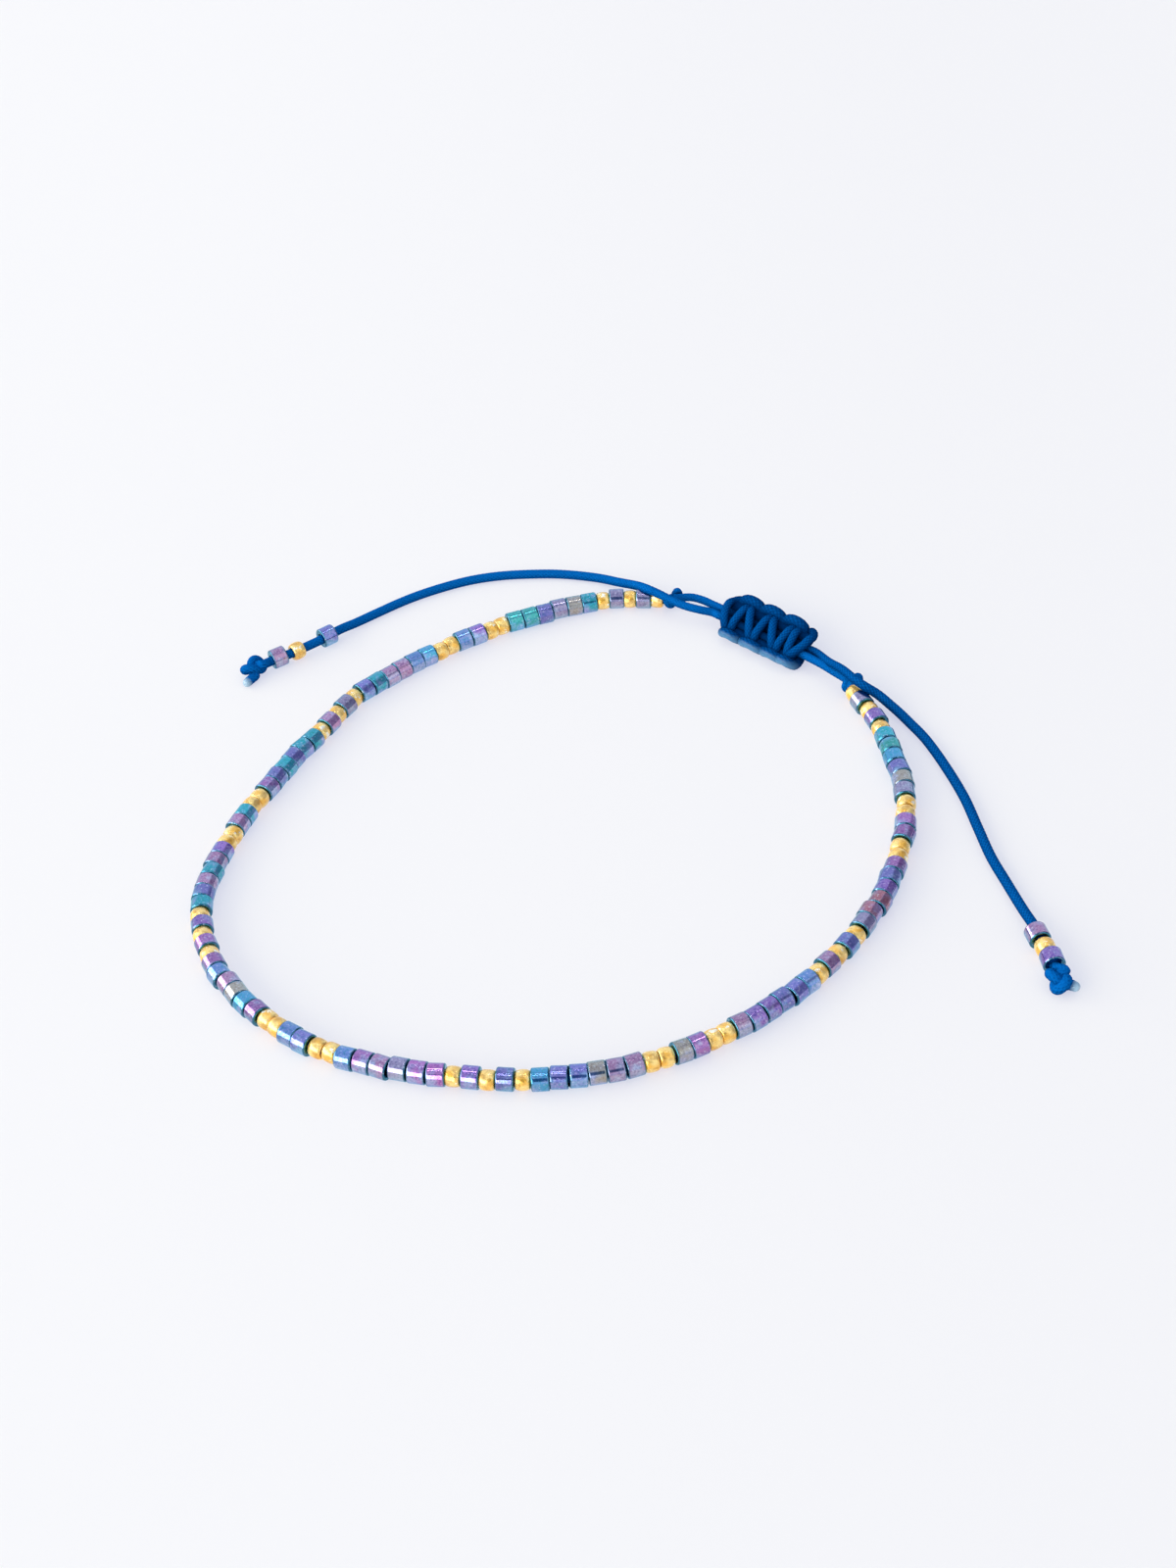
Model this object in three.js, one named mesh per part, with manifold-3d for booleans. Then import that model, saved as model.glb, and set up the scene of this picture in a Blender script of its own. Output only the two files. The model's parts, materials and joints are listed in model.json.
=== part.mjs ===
// Seed-bead bracelet on a braided cord, closed by a square-knot slider, lying on a flat surface.
// Millimetres, +Z up. The origin is on the surface, under the middle of the loop.
import * as THREE from 'three';
import { mergeVertices } from 'three/addons/utils/BufferGeometryUtils.js';
import Module from 'manifold-3d';

const wasm = await Module();
wasm.setup();

// Driving sizes
const CORD_RADIUS = 0.375;
const CORD_SIDES = 8;
const CORD_STEP = 1.9;
const JOIN_GAP = 0.3;
const SLOT_GAP = 0.12;
const SLOT_FLAT = 0.02;
const SLOT_HALF_LENGTH = 10;
const ROUTE_DIVISIONS = 2000;
const MERGE_DISTANCE = 1e-4;

// Bead profiles: at is a share of the bead's length, radius is in mm
const CYLINDER_BEAD = {
  length: 1.3,
  radius: 0.8,
  profile: [
    { at: 0.08, radius: 0.8 },
    { at: 0.92, radius: 0.8 },
  ],
};
const ROUND_BEAD = {
  length: 1.1,
  radius: 0.75,
  profile: [
    { at: 0.16, radius: 0.62 },
    { at: 0.5, radius: 0.75 },
    { at: 0.84, radius: 0.62 },
  ],
};
const STRING_SIDES = 10;
const TAIL_BEAD_SIDES = 12;
const TAIL_BEAD_BORE = 0.48;
const TAIL_BEAD_RIM = 0.1;

// Bead order: c is a cylinder bead, r a round one
const BEAD_GROUP = 'rcrcr';
const BEAD_FILL = 'ccccccrrccrrcccccc';
const GROUP_COUNT = 6;

// Centreline of the string in plan, from its left end knot round the front to its right one
const STRING_ROUTE = [
  { x: 10.75, y: 27.35 },
  { x: 8.0, y: 27.95 },
  { x: 5.4, y: 28.1 },
  { x: -0.9, y: 26.65 },
  { x: -7.95, y: 23.05 },
  { x: -15.6, y: 17.4 },
  { x: -18.1, y: 13.3 },
  { x: -20.9, y: 9.0 },
  { x: -25.1, y: 0.8 },
  { x: -27.0, y: -8.0 },
  { x: -24.3, y: -16.4 },
  { x: -17.35, y: -23.5 },
  { x: -8.1, y: -27.2 },
  { x: 1.4, y: -28.05 },
  { x: 10.6, y: -25.4 },
  { x: 18.4, y: -19.6 },
  { x: 24.0, y: -11.7 },
  { x: 26.9, y: -2.4 },
  { x: 26.3, y: 7.5 },
  { x: 24.8, y: 12.9 },
];

// Slider frame: u runs along it from left to right, v across it to the back, w up
const SLIDER = {
  x: 18.8,
  y: 20.7,
  turn: THREE.MathUtils.degToRad(-45.5),
  barPitch: 2.2,
  firstBar: -4.7,
  barCount: 5,
  barLean: 0.15,
  barRise: 0.75,
  barEdge: 1.25,
  barEdgeRise: 0.2,
  barShoulder: 0.69,
  barShoulderRise: 0.7,
  archReach: 1.75,
  archHalfLength: 0.95,
  archRise: 0.3,
  archShoulderReach: 1.68,
  archShoulderHalfLength: 0.665,
  archShoulderRise: -0.1,
  archFootRise: -0.55,
  frontArchShift: 0.35,
  backArchShift: 1.1,
  laneShift: 0.45,
  coreHalfWidth: 1.45,
  coreHalfHeight: 0.7,
  coreCorner: 0.55,
  strandSides: 6,
  strandSteps: 6,
};
const SLIDER_HEIGHT = SLIDER.barRise + CORD_RADIUS;
const SLIDER_LEFT_MOUTH = -5.1;
const SLIDER_RIGHT_MOUTH = 4.7;

// Knots that stop the string: a single turn of cord round itself; turn is the string's bearing there
const STRING_KNOT = { ringRadius: 0.48, coreRadius: 0.6, thickness: 0.86, sides: 12, tubeSides: 8 };
const STRING_KNOT_LEFT = { x: 11.45, y: 27.2, z: 0.86, turn: THREE.MathUtils.degToRad(-6) };
const STRING_KNOT_RIGHT = { x: 24.55, y: 13.6, z: 0.86, turn: THREE.MathUtils.degToRad(112) };

// Held cords between the string knots and the slider
const LEFT_LINK = [
  { x: 12.2, y: 27.1, z: 0.9 },
  { x: 13.1, y: 26.95, z: 0.95 },
  { x: 14.0, y: 26.35, z: 1.0 },
  { x: 14.75, y: 25.5, z: 1.08 },
];
const RIGHT_LINK = [
  { x: 24.25, y: 14.25, z: 0.9 },
  { x: 23.75, y: 14.9, z: 0.95 },
  { x: 23.0, y: 15.75, z: 1.05 },
];

// Free tails, from the slider's mouths over the string knots and along the surface
const LEFT_TAIL = [
  { x: 13.6, y: 24.9, z: 1.3 },
  { x: 12.45, y: 25.45, z: 1.45 },
  { x: 11.4, y: 26.0, z: 1.75 },
  { x: 10.4, y: 26.6, z: 2.1 },
  { x: 9.4, y: 27.3, z: 2.25 },
  { x: 8.2, y: 29.0, z: 1.7 },
  { x: 7.0, y: 30.6, z: 0.75 },
  { x: 5.75, y: 31.6, z: 0.45 },
  { x: 4.45, y: 32.2, z: 0.39 },
  { x: 1.9, y: 32.95, z: 0.39 },
  { x: -0.65, y: 33.3, z: 0.39 },
  { x: -3.25, y: 33.4, z: 0.39 },
  { x: -5.8, y: 33.1, z: 0.39 },
  { x: -8.4, y: 32.3, z: 0.39 },
  { x: -11.0, y: 31.15, z: 0.39 },
  { x: -13.55, y: 29.6, z: 0.39 },
  { x: -15.8, y: 28.0, z: 0.5 },
  { x: -17.2, y: 26.9, z: 0.76 },
  { x: -18.2, y: 26.0, z: 0.8 },
  { x: -20.7, y: 24.2, z: 0.8 },
  { x: -22.25, y: 23.4, z: 0.8 },
  { x: -23.1, y: 22.95, z: 0.8 },
];
const RIGHT_TAIL = [
  { x: 23.5, y: 16.1, z: 1.75 },
  { x: 24.35, y: 14.0, z: 2.2 },
  { x: 25.2, y: 12.3, z: 2.25 },
  { x: 25.9, y: 11.5, z: 1.9 },
  { x: 26.75, y: 10.85, z: 1.3 },
  { x: 27.65, y: 10.0, z: 0.8 },
  { x: 28.35, y: 9.1, z: 0.5 },
  { x: 29.1, y: 7.75, z: 0.39 },
  { x: 29.9, y: 5.8, z: 0.39 },
  { x: 30.95, y: 1.95, z: 0.39 },
  { x: 31.7, y: -1.75, z: 0.39 },
  { x: 32.1, y: -5.3, z: 0.39 },
  { x: 32.5, y: -8.75, z: 0.39 },
  { x: 33.2, y: -12.15, z: 0.39 },
  { x: 33.75, y: -15.0, z: 0.55 },
  { x: 34.15, y: -16.8, z: 0.77 },
  { x: 34.35, y: -17.9, z: 0.8 },
  { x: 34.55, y: -19.25, z: 0.8 },
  { x: 34.7, y: -20.6, z: 0.8 },
  { x: 34.75, y: -21.35, z: 0.8 },
];

// Beads on the tails: at is the route point that each one sits on
const LEFT_TAIL_BEADS = [
  { name: 'tail_bead_left_inner', bead: CYLINDER_BEAD, at: 18, colour: '#7d74b4' },
  { name: 'tail_bead_left_round', bead: ROUND_BEAD, at: 19, colour: '#d8a23a' },
  { name: 'tail_bead_left_outer', bead: CYLINDER_BEAD, at: 20, colour: '#8a78b8' },
];
const RIGHT_TAIL_BEADS = [
  { name: 'tail_bead_right_inner', bead: CYLINDER_BEAD, at: 16, colour: '#97789f' },
  { name: 'tail_bead_right_round', bead: ROUND_BEAD, at: 17, colour: '#d8a23a' },
  { name: 'tail_bead_right_outer', bead: CYLINDER_BEAD, at: 18, colour: '#7c74b0' },
];

// Overhand knots on the tails: turn is the bearing from which the tail comes in
const END_KNOT = { spread: 0.3, depth: 0.32, from: 0.6, pieces: 6, pieceSteps: 3, sides: 8 };
const LEFT_END_KNOT = { x: -24.15, y: 22.15, z: 0.8, turn: THREE.MathUtils.degToRad(40) };
const LEFT_CUT_END = { x: -25.0, y: 20.4, z: 0.42 };
const RIGHT_END_KNOT = { x: 34.95, y: -22.6, z: 0.8, turn: THREE.MathUtils.degToRad(105) };
const RIGHT_CUT_END = { x: 36.1, y: -23.3, z: 0.5 };

// Finishes
const CORD_COLOUR = '#0b4a8c';
const STRING_COLOUR = '#6f6aa8';
const BEAD_ROUGHNESS = 0.3;

const UP = new THREE.Vector3(0, 0, 1);

// Returns a table row as a vector.
function vector({ x, y, z = 0 }) {
  return new THREE.Vector3(x, y, z);
}

// Returns a point of the slider's own frame in the object's frame.
function sliderPoint(u, v, w) {
  const middle = new THREE.Vector3(SLIDER.x, SLIDER.y, SLIDER_HEIGHT);
  return new THREE.Vector3(u, v, w).applyAxisAngle(UP, SLIDER.turn).add(middle);
}

// Returns a named mesh with a material of its own.
function piece(name, geometry, colour, roughness = 0.8, metalness = 0) {
  const material = new THREE.MeshStandardMaterial({ color: colour, roughness, metalness });
  const mesh = new THREE.Mesh(geometry, material);
  mesh.name = name;
  return mesh;
}

// Returns a closed tube of regular section along a curve through the points.
function tube(points, radius, sides, steps) {
  const section = new THREE.Shape();
  for (let side = 0; side < sides; side += 1) {
    const angle = ((side + 0.5) * 2 * Math.PI) / sides;
    const x = radius * Math.cos(angle);
    const y = radius * Math.sin(angle);
    if (side === 0) section.moveTo(x, y);
    else section.lineTo(x, y);
  }
  section.closePath();
  const extrudePath = new THREE.CatmullRomCurve3(points, false, 'centripetal');
  return new THREE.ExtrudeGeometry(section, { steps, extrudePath, bevelEnabled: false });
}

// Returns a cord's tube, with a step about every CORD_STEP.
function cord(points) {
  const length = new THREE.CatmullRomCurve3(points, false, 'centripetal').getLength();
  return tube(points, CORD_RADIUS, CORD_SIDES, Math.round(length / CORD_STEP));
}

// Returns a closed geometry as a solid that can be joined and cut.
function solid(geometry) {
  const bare = geometry.clone();
  bare.deleteAttribute('normal');
  bare.deleteAttribute('uv');
  const merged = mergeVertices(bare, MERGE_DISTANCE);
  const vertProperties = new Float32Array(merged.attributes.position.array);
  const triVerts = new Uint32Array(merged.index.array);
  return new wasm.Manifold(new wasm.Mesh({ numProp: 3, vertProperties, triVerts }));
}

// Returns the geometry of a joined or cut solid.
function geometryOf(body) {
  const mesh = body.getMesh();
  const geometry = new THREE.BufferGeometry();
  geometry.setAttribute('position', new THREE.BufferAttribute(new Float32Array(mesh.vertProperties), 3));
  geometry.setIndex(new THREE.BufferAttribute(new Uint32Array(mesh.triVerts), 1));
  geometry.computeVertexNormals();
  return geometry;
}

// Returns several closed geometries fused into one solid.
function fused(geometries) {
  return geometries.map(solid).reduce((whole, next) => whole.add(next));
}

// Returns the beads of the string in order, from its left end.
function stringBeads() {
  const letters = Array(GROUP_COUNT).fill(BEAD_GROUP).join(BEAD_FILL);
  return [...letters].map((letter) => (letter === 'c' ? CYLINDER_BEAD : ROUND_BEAD));
}

// Returns the string as one swept body: the cord shows in a groove between one bead and the next.
function beadString() {
  const height = CYLINDER_BEAD.radius * Math.cos(Math.PI / STRING_SIDES);
  const points = STRING_ROUTE.map(({ x, y }) => new THREE.Vector3(x, y, height));
  const route = new THREE.CatmullRomCurve3(points, false, 'centripetal');
  route.arcLengthDivisions = ROUTE_DIVISIONS;
  const routeLength = route.getLength();
  const beads = stringBeads();
  const slack = routeLength - beads.reduce((sum, bead) => sum + bead.length, 0);

  // The beads are drawn together at the left end and lie looser towards the right one
  const rings = [{ along: 0, radius: CORD_RADIUS }];
  let start = 0;
  beads.forEach((bead, number) => {
    const gap = (slack * (2 * number + 1)) / beads.length ** 2;
    for (const { at, radius } of bead.profile) {
      rings.push({ along: start + gap / 2 + at * bead.length, radius });
    }
    start += bead.length + gap;
    rings.push({ along: start, radius: CORD_RADIUS });
  });

  const positions = [];
  for (const { along, radius } of rings) {
    const share = Math.min(along / routeLength, 1);
    const centre = route.getPointAt(share);
    const across = route.getTangentAt(share).cross(UP).normalize();
    for (let side = 0; side < STRING_SIDES; side += 1) {
      const angle = ((side + 0.5) * 2 * Math.PI) / STRING_SIDES - Math.PI / 2;
      const corner = centre.clone();
      corner.addScaledVector(across, radius * Math.cos(angle));
      corner.addScaledVector(UP, radius * Math.sin(angle));
      positions.push(...corner.toArray());
    }
  }
  const index = [];
  for (let ring = 0; ring + 1 < rings.length; ring += 1) {
    for (let side = 0; side < STRING_SIDES; side += 1) {
      const near = ring * STRING_SIDES + side;
      const nearNext = ring * STRING_SIDES + ((side + 1) % STRING_SIDES);
      index.push(near, near + STRING_SIDES, nearNext);
      index.push(nearNext, near + STRING_SIDES, nearNext + STRING_SIDES);
    }
  }
  const last = (rings.length - 1) * STRING_SIDES;
  for (let side = 1; side + 1 < STRING_SIDES; side += 1) {
    index.push(0, side, side + 1);
    index.push(last, last + side + 1, last + side);
  }
  const geometry = new THREE.BufferGeometry();
  geometry.setAttribute('position', new THREE.Float32BufferAttribute(positions, 3));
  geometry.setIndex(index);
  geometry.computeVertexNormals();
  return geometry;
}

// Returns a drilled bead, its hole along Y.
function drilledBead({ length, radius, profile }) {
  const half = length / 2;
  const points = [new THREE.Vector2(TAIL_BEAD_BORE, -half)];
  if (profile.length === 2) points.push(new THREE.Vector2(radius - TAIL_BEAD_RIM, -half));
  for (const row of profile) {
    points.push(new THREE.Vector2(row.radius, row.at * length - half));
  }
  if (profile.length === 2) points.push(new THREE.Vector2(radius - TAIL_BEAD_RIM, half));
  points.push(new THREE.Vector2(TAIL_BEAD_BORE, half));
  points.push(points[0].clone());
  return new THREE.LatheGeometry(points, TAIL_BEAD_SIDES);
}

// Returns the beads of one tail, each turned along the route at its point.
function tailBeads(rows, route) {
  return rows.map(({ name, bead, at, colour }) => {
    const round = bead === ROUND_BEAD;
    const mesh = piece(name, drilledBead(bead), colour, BEAD_ROUGHNESS, round ? 1 : 0);
    const along = route[at + 1].clone().sub(route[at - 1]).setZ(0).normalize();
    mesh.quaternion.setFromUnitVectors(new THREE.Vector3(0, 1, 0), along);
    mesh.position.copy(route[at]);
    return mesh;
  });
}

// Returns the knot at an end of the string: a ring of cord drawn tight round a short core.
function stringKnot(name, place) {
  const { ringRadius, coreRadius, thickness, sides, tubeSides } = STRING_KNOT;
  const ring = new THREE.TorusGeometry(ringRadius, CORD_RADIUS, tubeSides, sides);
  const core = new THREE.CylinderGeometry(coreRadius, coreRadius, thickness, sides);
  core.rotateX(Math.PI / 2);
  const mesh = piece(name, geometryOf(fused([ring, core])), CORD_COLOUR);
  mesh.position.copy(vector(place));
  const along = new THREE.Vector3(Math.cos(place.turn), Math.sin(place.turn), 0);
  mesh.quaternion.setFromUnitVectors(UP, along);
  return mesh;
}

// Returns a point of the overhand knot's path, for a bearing round its three lobes.
function overhandPoint(bearing) {
  const { spread, depth } = END_KNOT;
  const x = spread * (Math.sin(bearing) + 2 * Math.sin(2 * bearing));
  const y = spread * (Math.cos(bearing) - 2 * Math.cos(2 * bearing));
  return new THREE.Vector3(x, y, -depth * Math.sin(3 * bearing));
}

// Returns an overhand knot with its cut end, fused from short stretches of cord.
function endKnot(name, place, cutEnd) {
  const { from, pieces, pieceSteps, sides } = END_KNOT;
  const start = Math.PI + from;
  const sweep = 2 * (Math.PI - from);
  const stretches = [];
  let last = null;
  for (let number = 0; number < pieces; number += 1) {
    const points = [];
    for (let step = 0; step <= pieceSteps; step += 1) {
      const bearing = start + (sweep * (number * pieceSteps + step)) / (pieces * pieceSteps);
      points.push(overhandPoint(bearing).applyAxisAngle(UP, place.turn).add(vector(place)));
    }
    last = points[pieceSteps];
    stretches.push(tube(points, CORD_RADIUS, sides, pieceSteps));
  }
  const middle = last.clone().lerp(vector(cutEnd), 0.5);
  stretches.push(tube([last, middle, vector(cutEnd)], CORD_RADIUS, sides, 2));
  return piece(name, geometryOf(fused(stretches)), CORD_COLOUR);
}

// Returns one strand of the slider through points given in its own frame.
function strand(points) {
  const path = points.map(([u, v, w]) => new THREE.Vector3(u, v, w));
  return tube(path, CORD_RADIUS, SLIDER.strandSides, SLIDER.strandSteps);
}

// Returns a bar over the slider's top from its front edge to its back edge; face -1 puts it underneath.
function bar(frontU, backU, face) {
  const { barRise, barEdge, barEdgeRise, barShoulder, barShoulderRise } = SLIDER;
  const at = (share) => frontU + share * (backU - frontU);
  return strand([
    [at(0), -face * barEdge, face * barEdgeRise],
    [at(0.25), -face * barShoulder, face * barShoulderRise],
    [at(0.5), 0, face * barRise],
    [at(0.75), face * barShoulder, face * barShoulderRise],
    [at(1), face * barEdge, face * barEdgeRise],
  ]);
}

// Returns a side arch that binds the bars at one edge; side is -1 at the front and 1 at the back.
function arch(middle, side) {
  const { barEdge, archReach, archHalfLength, archRise, archFootRise } = SLIDER;
  const { archShoulderReach, archShoulderHalfLength, archShoulderRise } = SLIDER;
  return strand([
    [middle - archHalfLength, side * barEdge, archFootRise],
    [middle - archShoulderHalfLength, side * archShoulderReach, archShoulderRise],
    [middle, side * archReach, archRise],
    [middle + archShoulderHalfLength, side * archShoulderReach, archShoulderRise],
    [middle + archHalfLength, side * barEdge, archFootRise],
  ]);
}

// Returns a bar of rounded section along u, centred on the slider's axis.
function roundedBar(halfWidth, halfHeight, corner, from, to) {
  const section = new THREE.Shape();
  section.moveTo(-halfWidth + corner, -halfHeight);
  section.lineTo(halfWidth - corner, -halfHeight);
  section.absarc(halfWidth - corner, -halfHeight + corner, corner, -Math.PI / 2, 0);
  section.lineTo(halfWidth, halfHeight - corner);
  section.absarc(halfWidth - corner, halfHeight - corner, corner, 0, Math.PI / 2);
  section.lineTo(-halfWidth + corner, halfHeight);
  section.absarc(-halfWidth + corner, halfHeight - corner, corner, Math.PI / 2, Math.PI);
  section.lineTo(-halfWidth, -halfHeight + corner);
  section.absarc(-halfWidth + corner, -halfHeight + corner, corner, Math.PI, 1.5 * Math.PI);
  const extent = { depth: to - from, bevelEnabled: false, curveSegments: 3 };
  const geometry = new THREE.ExtrudeGeometry(section, extent);
  geometry.translate(0, 0, from);
  geometry.rotateX(Math.PI / 2);
  geometry.rotateZ(Math.PI / 2);
  return geometry;
}

// Returns the square-knot slider: bars above and below, arches at the edges and a slot for both cords.
function slider() {
  const { barPitch, firstBar, barCount, barLean, frontArchShift, backArchShift } = SLIDER;
  const strands = [];
  for (let number = 0; number < barCount; number += 1) {
    const u = firstBar + number * barPitch;
    for (const face of [1, -1]) {
      strands.push(bar(u + barLean, u - barLean, face));
      if (number + 1 < barCount) strands.push(bar(u + barPitch - barLean, u + barLean, face));
    }
    if (number > 0) strands.push(arch(u + frontArchShift, -1));
    if (number + 1 < barCount) strands.push(arch(u + backArchShift, 1));
  }
  const lastBar = firstBar + (barCount - 1) * barPitch;
  const { coreHalfWidth, coreHalfHeight, coreCorner, laneShift } = SLIDER;
  strands.push(roundedBar(coreHalfWidth, coreHalfHeight, coreCorner, firstBar, lastBar));
  const slotHalfHeight = CORD_RADIUS + SLOT_GAP;
  const slotHalfWidth = laneShift + slotHalfHeight;
  const slotCorner = slotHalfHeight - SLOT_FLAT;
  const slot = roundedBar(slotHalfWidth, slotHalfHeight, slotCorner, -SLOT_HALF_LENGTH, SLOT_HALF_LENGTH);
  const mesh = piece('slider', geometryOf(fused(strands).subtract(solid(slot))), CORD_COLOUR);
  mesh.position.set(SLIDER.x, SLIDER.y, SLIDER_HEIGHT);
  mesh.rotation.z = SLIDER.turn;
  return mesh;
}

// Routes of the cords: each one runs from a string knot straight through the slider and out as a tail
const { laneShift } = SLIDER;
const leftHeld = [
  ...LEFT_LINK.map(vector),
  sliderPoint(SLIDER_LEFT_MOUTH, laneShift, 0),
  sliderPoint(0, laneShift, 0),
  sliderPoint(SLIDER_RIGHT_MOUTH, laneShift, 0),
];
const rightHeld = [
  ...RIGHT_LINK.map(vector),
  sliderPoint(SLIDER_RIGHT_MOUTH, -laneShift, 0),
  sliderPoint(0, -laneShift, 0),
  sliderPoint(SLIDER_LEFT_MOUTH, -laneShift, 0),
];
const leftTail = [sliderPoint(SLIDER_LEFT_MOUTH - JOIN_GAP, -laneShift, 0), ...LEFT_TAIL.map(vector)];
const rightTail = [sliderPoint(SLIDER_RIGHT_MOUTH + JOIN_GAP, laneShift, 0), ...RIGHT_TAIL.map(vector)];

const bracelet = new THREE.Group();
bracelet.add(piece('bead_string', beadString(), STRING_COLOUR, BEAD_ROUGHNESS));
bracelet.add(stringKnot('string_knot_left', STRING_KNOT_LEFT));
bracelet.add(stringKnot('string_knot_right', STRING_KNOT_RIGHT));
bracelet.add(slider());
bracelet.add(piece('inner_cord_left', cord(leftHeld), CORD_COLOUR));
bracelet.add(piece('inner_cord_right', cord(rightHeld), CORD_COLOUR));
bracelet.add(piece('tail_cord_left', cord(leftTail), CORD_COLOUR));
bracelet.add(piece('tail_cord_right', cord(rightTail), CORD_COLOUR));
bracelet.add(...tailBeads(LEFT_TAIL_BEADS, leftTail.slice(1)));
bracelet.add(...tailBeads(RIGHT_TAIL_BEADS, rightTail.slice(1)));
bracelet.add(endKnot('tail_knot_left', LEFT_END_KNOT, LEFT_CUT_END));
bracelet.add(endKnot('tail_knot_right', RIGHT_END_KNOT, RIGHT_CUT_END));

export default bracelet;
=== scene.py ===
"""Seed-bead bracelet on a braided cord, closed by a square-knot slider and lying on a pale surface.

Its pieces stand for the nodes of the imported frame. Sizes are in millimetres, and meshes are made in metres.
"""

import json
import logging
import math
from dataclasses import dataclass, field
from enum import Enum

import bpy
import numpy as np
from mathutils import Matrix, Vector

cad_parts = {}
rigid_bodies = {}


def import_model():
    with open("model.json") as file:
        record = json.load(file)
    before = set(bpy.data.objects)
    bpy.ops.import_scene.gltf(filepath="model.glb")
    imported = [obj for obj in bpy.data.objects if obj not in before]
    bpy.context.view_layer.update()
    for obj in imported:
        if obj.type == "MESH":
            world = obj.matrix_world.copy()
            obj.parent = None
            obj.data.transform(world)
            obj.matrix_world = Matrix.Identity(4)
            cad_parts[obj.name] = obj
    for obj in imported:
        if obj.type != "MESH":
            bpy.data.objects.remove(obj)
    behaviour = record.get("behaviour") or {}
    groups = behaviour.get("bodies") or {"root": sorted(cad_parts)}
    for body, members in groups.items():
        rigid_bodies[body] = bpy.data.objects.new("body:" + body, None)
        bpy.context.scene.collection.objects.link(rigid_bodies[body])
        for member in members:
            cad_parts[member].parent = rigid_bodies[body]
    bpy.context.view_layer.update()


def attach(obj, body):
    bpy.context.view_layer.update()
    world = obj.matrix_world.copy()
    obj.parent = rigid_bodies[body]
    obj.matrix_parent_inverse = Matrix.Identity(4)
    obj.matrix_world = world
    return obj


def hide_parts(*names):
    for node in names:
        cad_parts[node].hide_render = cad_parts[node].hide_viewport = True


LOG = logging.getLogger("bracelet")
MM = 0.001
BODY = "root"
UP = np.array([0.0, 0.0, 1.0])
NEAR_UPRIGHT = 0.9
Colour = tuple[float, float, float]
Point = tuple[float, float, float]
Span = tuple[float, float]
Node = bpy.types.Node
Socket = bpy.types.NodeSocket

# Cord shared by the string, the slider and the tails: its plain width, and the radius of its yarns' crowns
CORD_RADIUS = 0.4

# Centreline of the string in plan, from its left end knot round the front to its right one
STRING_ROUTE = (
    (10.75, 27.2),
    (8.0, 27.6),
    (5.4, 27.7),
    (-0.85, 26.15),
    (-7.9, 22.8),
    (-15.4, 17.05),
    (-17.95, 13.1),
    (-20.75, 8.75),
    (-24.85, 0.5),
    (-26.72, -8.0),
    (-24.2, -16.3),
    (-17.35, -23.5),
    (-8.1, -27.15),
    (1.4, -28.1),
    (10.6, -25.43),
    (18.45, -19.65),
    (24.12, -11.8),
    (27.03, -2.4),
    (26.4, 7.5),
    (24.8, 12.9),
)

# How far the beads are drawn on along the string, by the place along it
STRING_DRAW = (
    (0.0, 0.0),
    (5.4, -0.1),
    (15.0, 0.16),
    (31.5, 0.5),
    (43.5, 0.72),
    (48.3, 0.5),
    (58.0, -0.1),
    (62.5, -0.55),
    (72.0, -0.9),
    (87.0, -0.7),
    (101.0, -0.8),
    (120.0, -1.4),
    (130.0, -1.3),
    (144.5, -0.68),
    (150.0, -0.55),
)

# Knots at the string's ends: centre, and the string's bearing there in degrees
STRING_KNOT_LEFT = ((11.5, 27.25, 0.86), -6.0)
STRING_KNOT_RIGHT = ((25.15, 13.15, 0.92), 138.0)

# Held cords between the string knots and the slider
LEFT_LINK = (
    (11.6, 27.2, 0.86),
    (12.2, 27.1, 0.9),
    (13.1, 26.95, 0.95),
    (14.0, 26.35, 1.0),
    (14.75, 25.5, 1.08),
)
RIGHT_LINK = (
    (24.9, 13.4, 0.92),
    (24.4, 14.1, 0.92),
    (23.75, 14.9, 0.95),
    (23.0, 15.75, 1.05),
)

# Free tails, from the slider's mouths over the string knots and along the surface
LEFT_TAIL = (
    (13.55, 24.45, 1.4),
    (12.4, 24.95, 1.55),
    (11.35, 25.65, 1.72),
    (10.4, 26.35, 1.95),
    (9.4, 27.2, 2.02),
    (8.5, 28.95, 1.25),
    (7.0, 30.45, 0.72),
    (5.75, 31.5, 0.45),
    (4.45, 32.1, 0.4),
    (1.9, 32.85, 0.4),
    (-0.65, 33.2, 0.4),
    (-3.25, 33.3, 0.4),
    (-5.8, 33.0, 0.4),
    (-8.4, 32.2, 0.4),
    (-11.0, 31.05, 0.4),
    (-13.55, 29.5, 0.4),
    (-15.77, 27.9, 0.5),
    (-17.15, 26.7, 0.76),
    (-18.13, 25.8, 0.8),
    (-20.68, 24.1, 0.8),
    (-22.2, 23.25, 0.8),
    (-23.05, 22.8, 0.8),
)
RIGHT_TAIL = (
    (23.4, 15.75, 1.4),
    (24.3, 13.65, 2.05),
    (25.15, 11.95, 2.15),
    (25.85, 11.3, 1.9),
    (26.8, 10.93, 1.3),
    (27.7, 10.08, 0.8),
    (28.4, 9.17, 0.5),
    (29.1, 7.75, 0.4),
    (29.9, 5.8, 0.4),
    (30.95, 1.95, 0.4),
    (31.7, -1.75, 0.4),
    (32.1, -5.3, 0.4),
    (32.5, -8.75, 0.4),
    (33.2, -12.15, 0.4),
    (33.75, -15.0, 0.55),
    (34.1, -16.83, 0.77),
    (34.28, -17.95, 0.8),
    (34.5, -19.28, 0.8),
    (34.7, -20.6, 0.8),
    (34.75, -21.35, 0.8),
)


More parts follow.
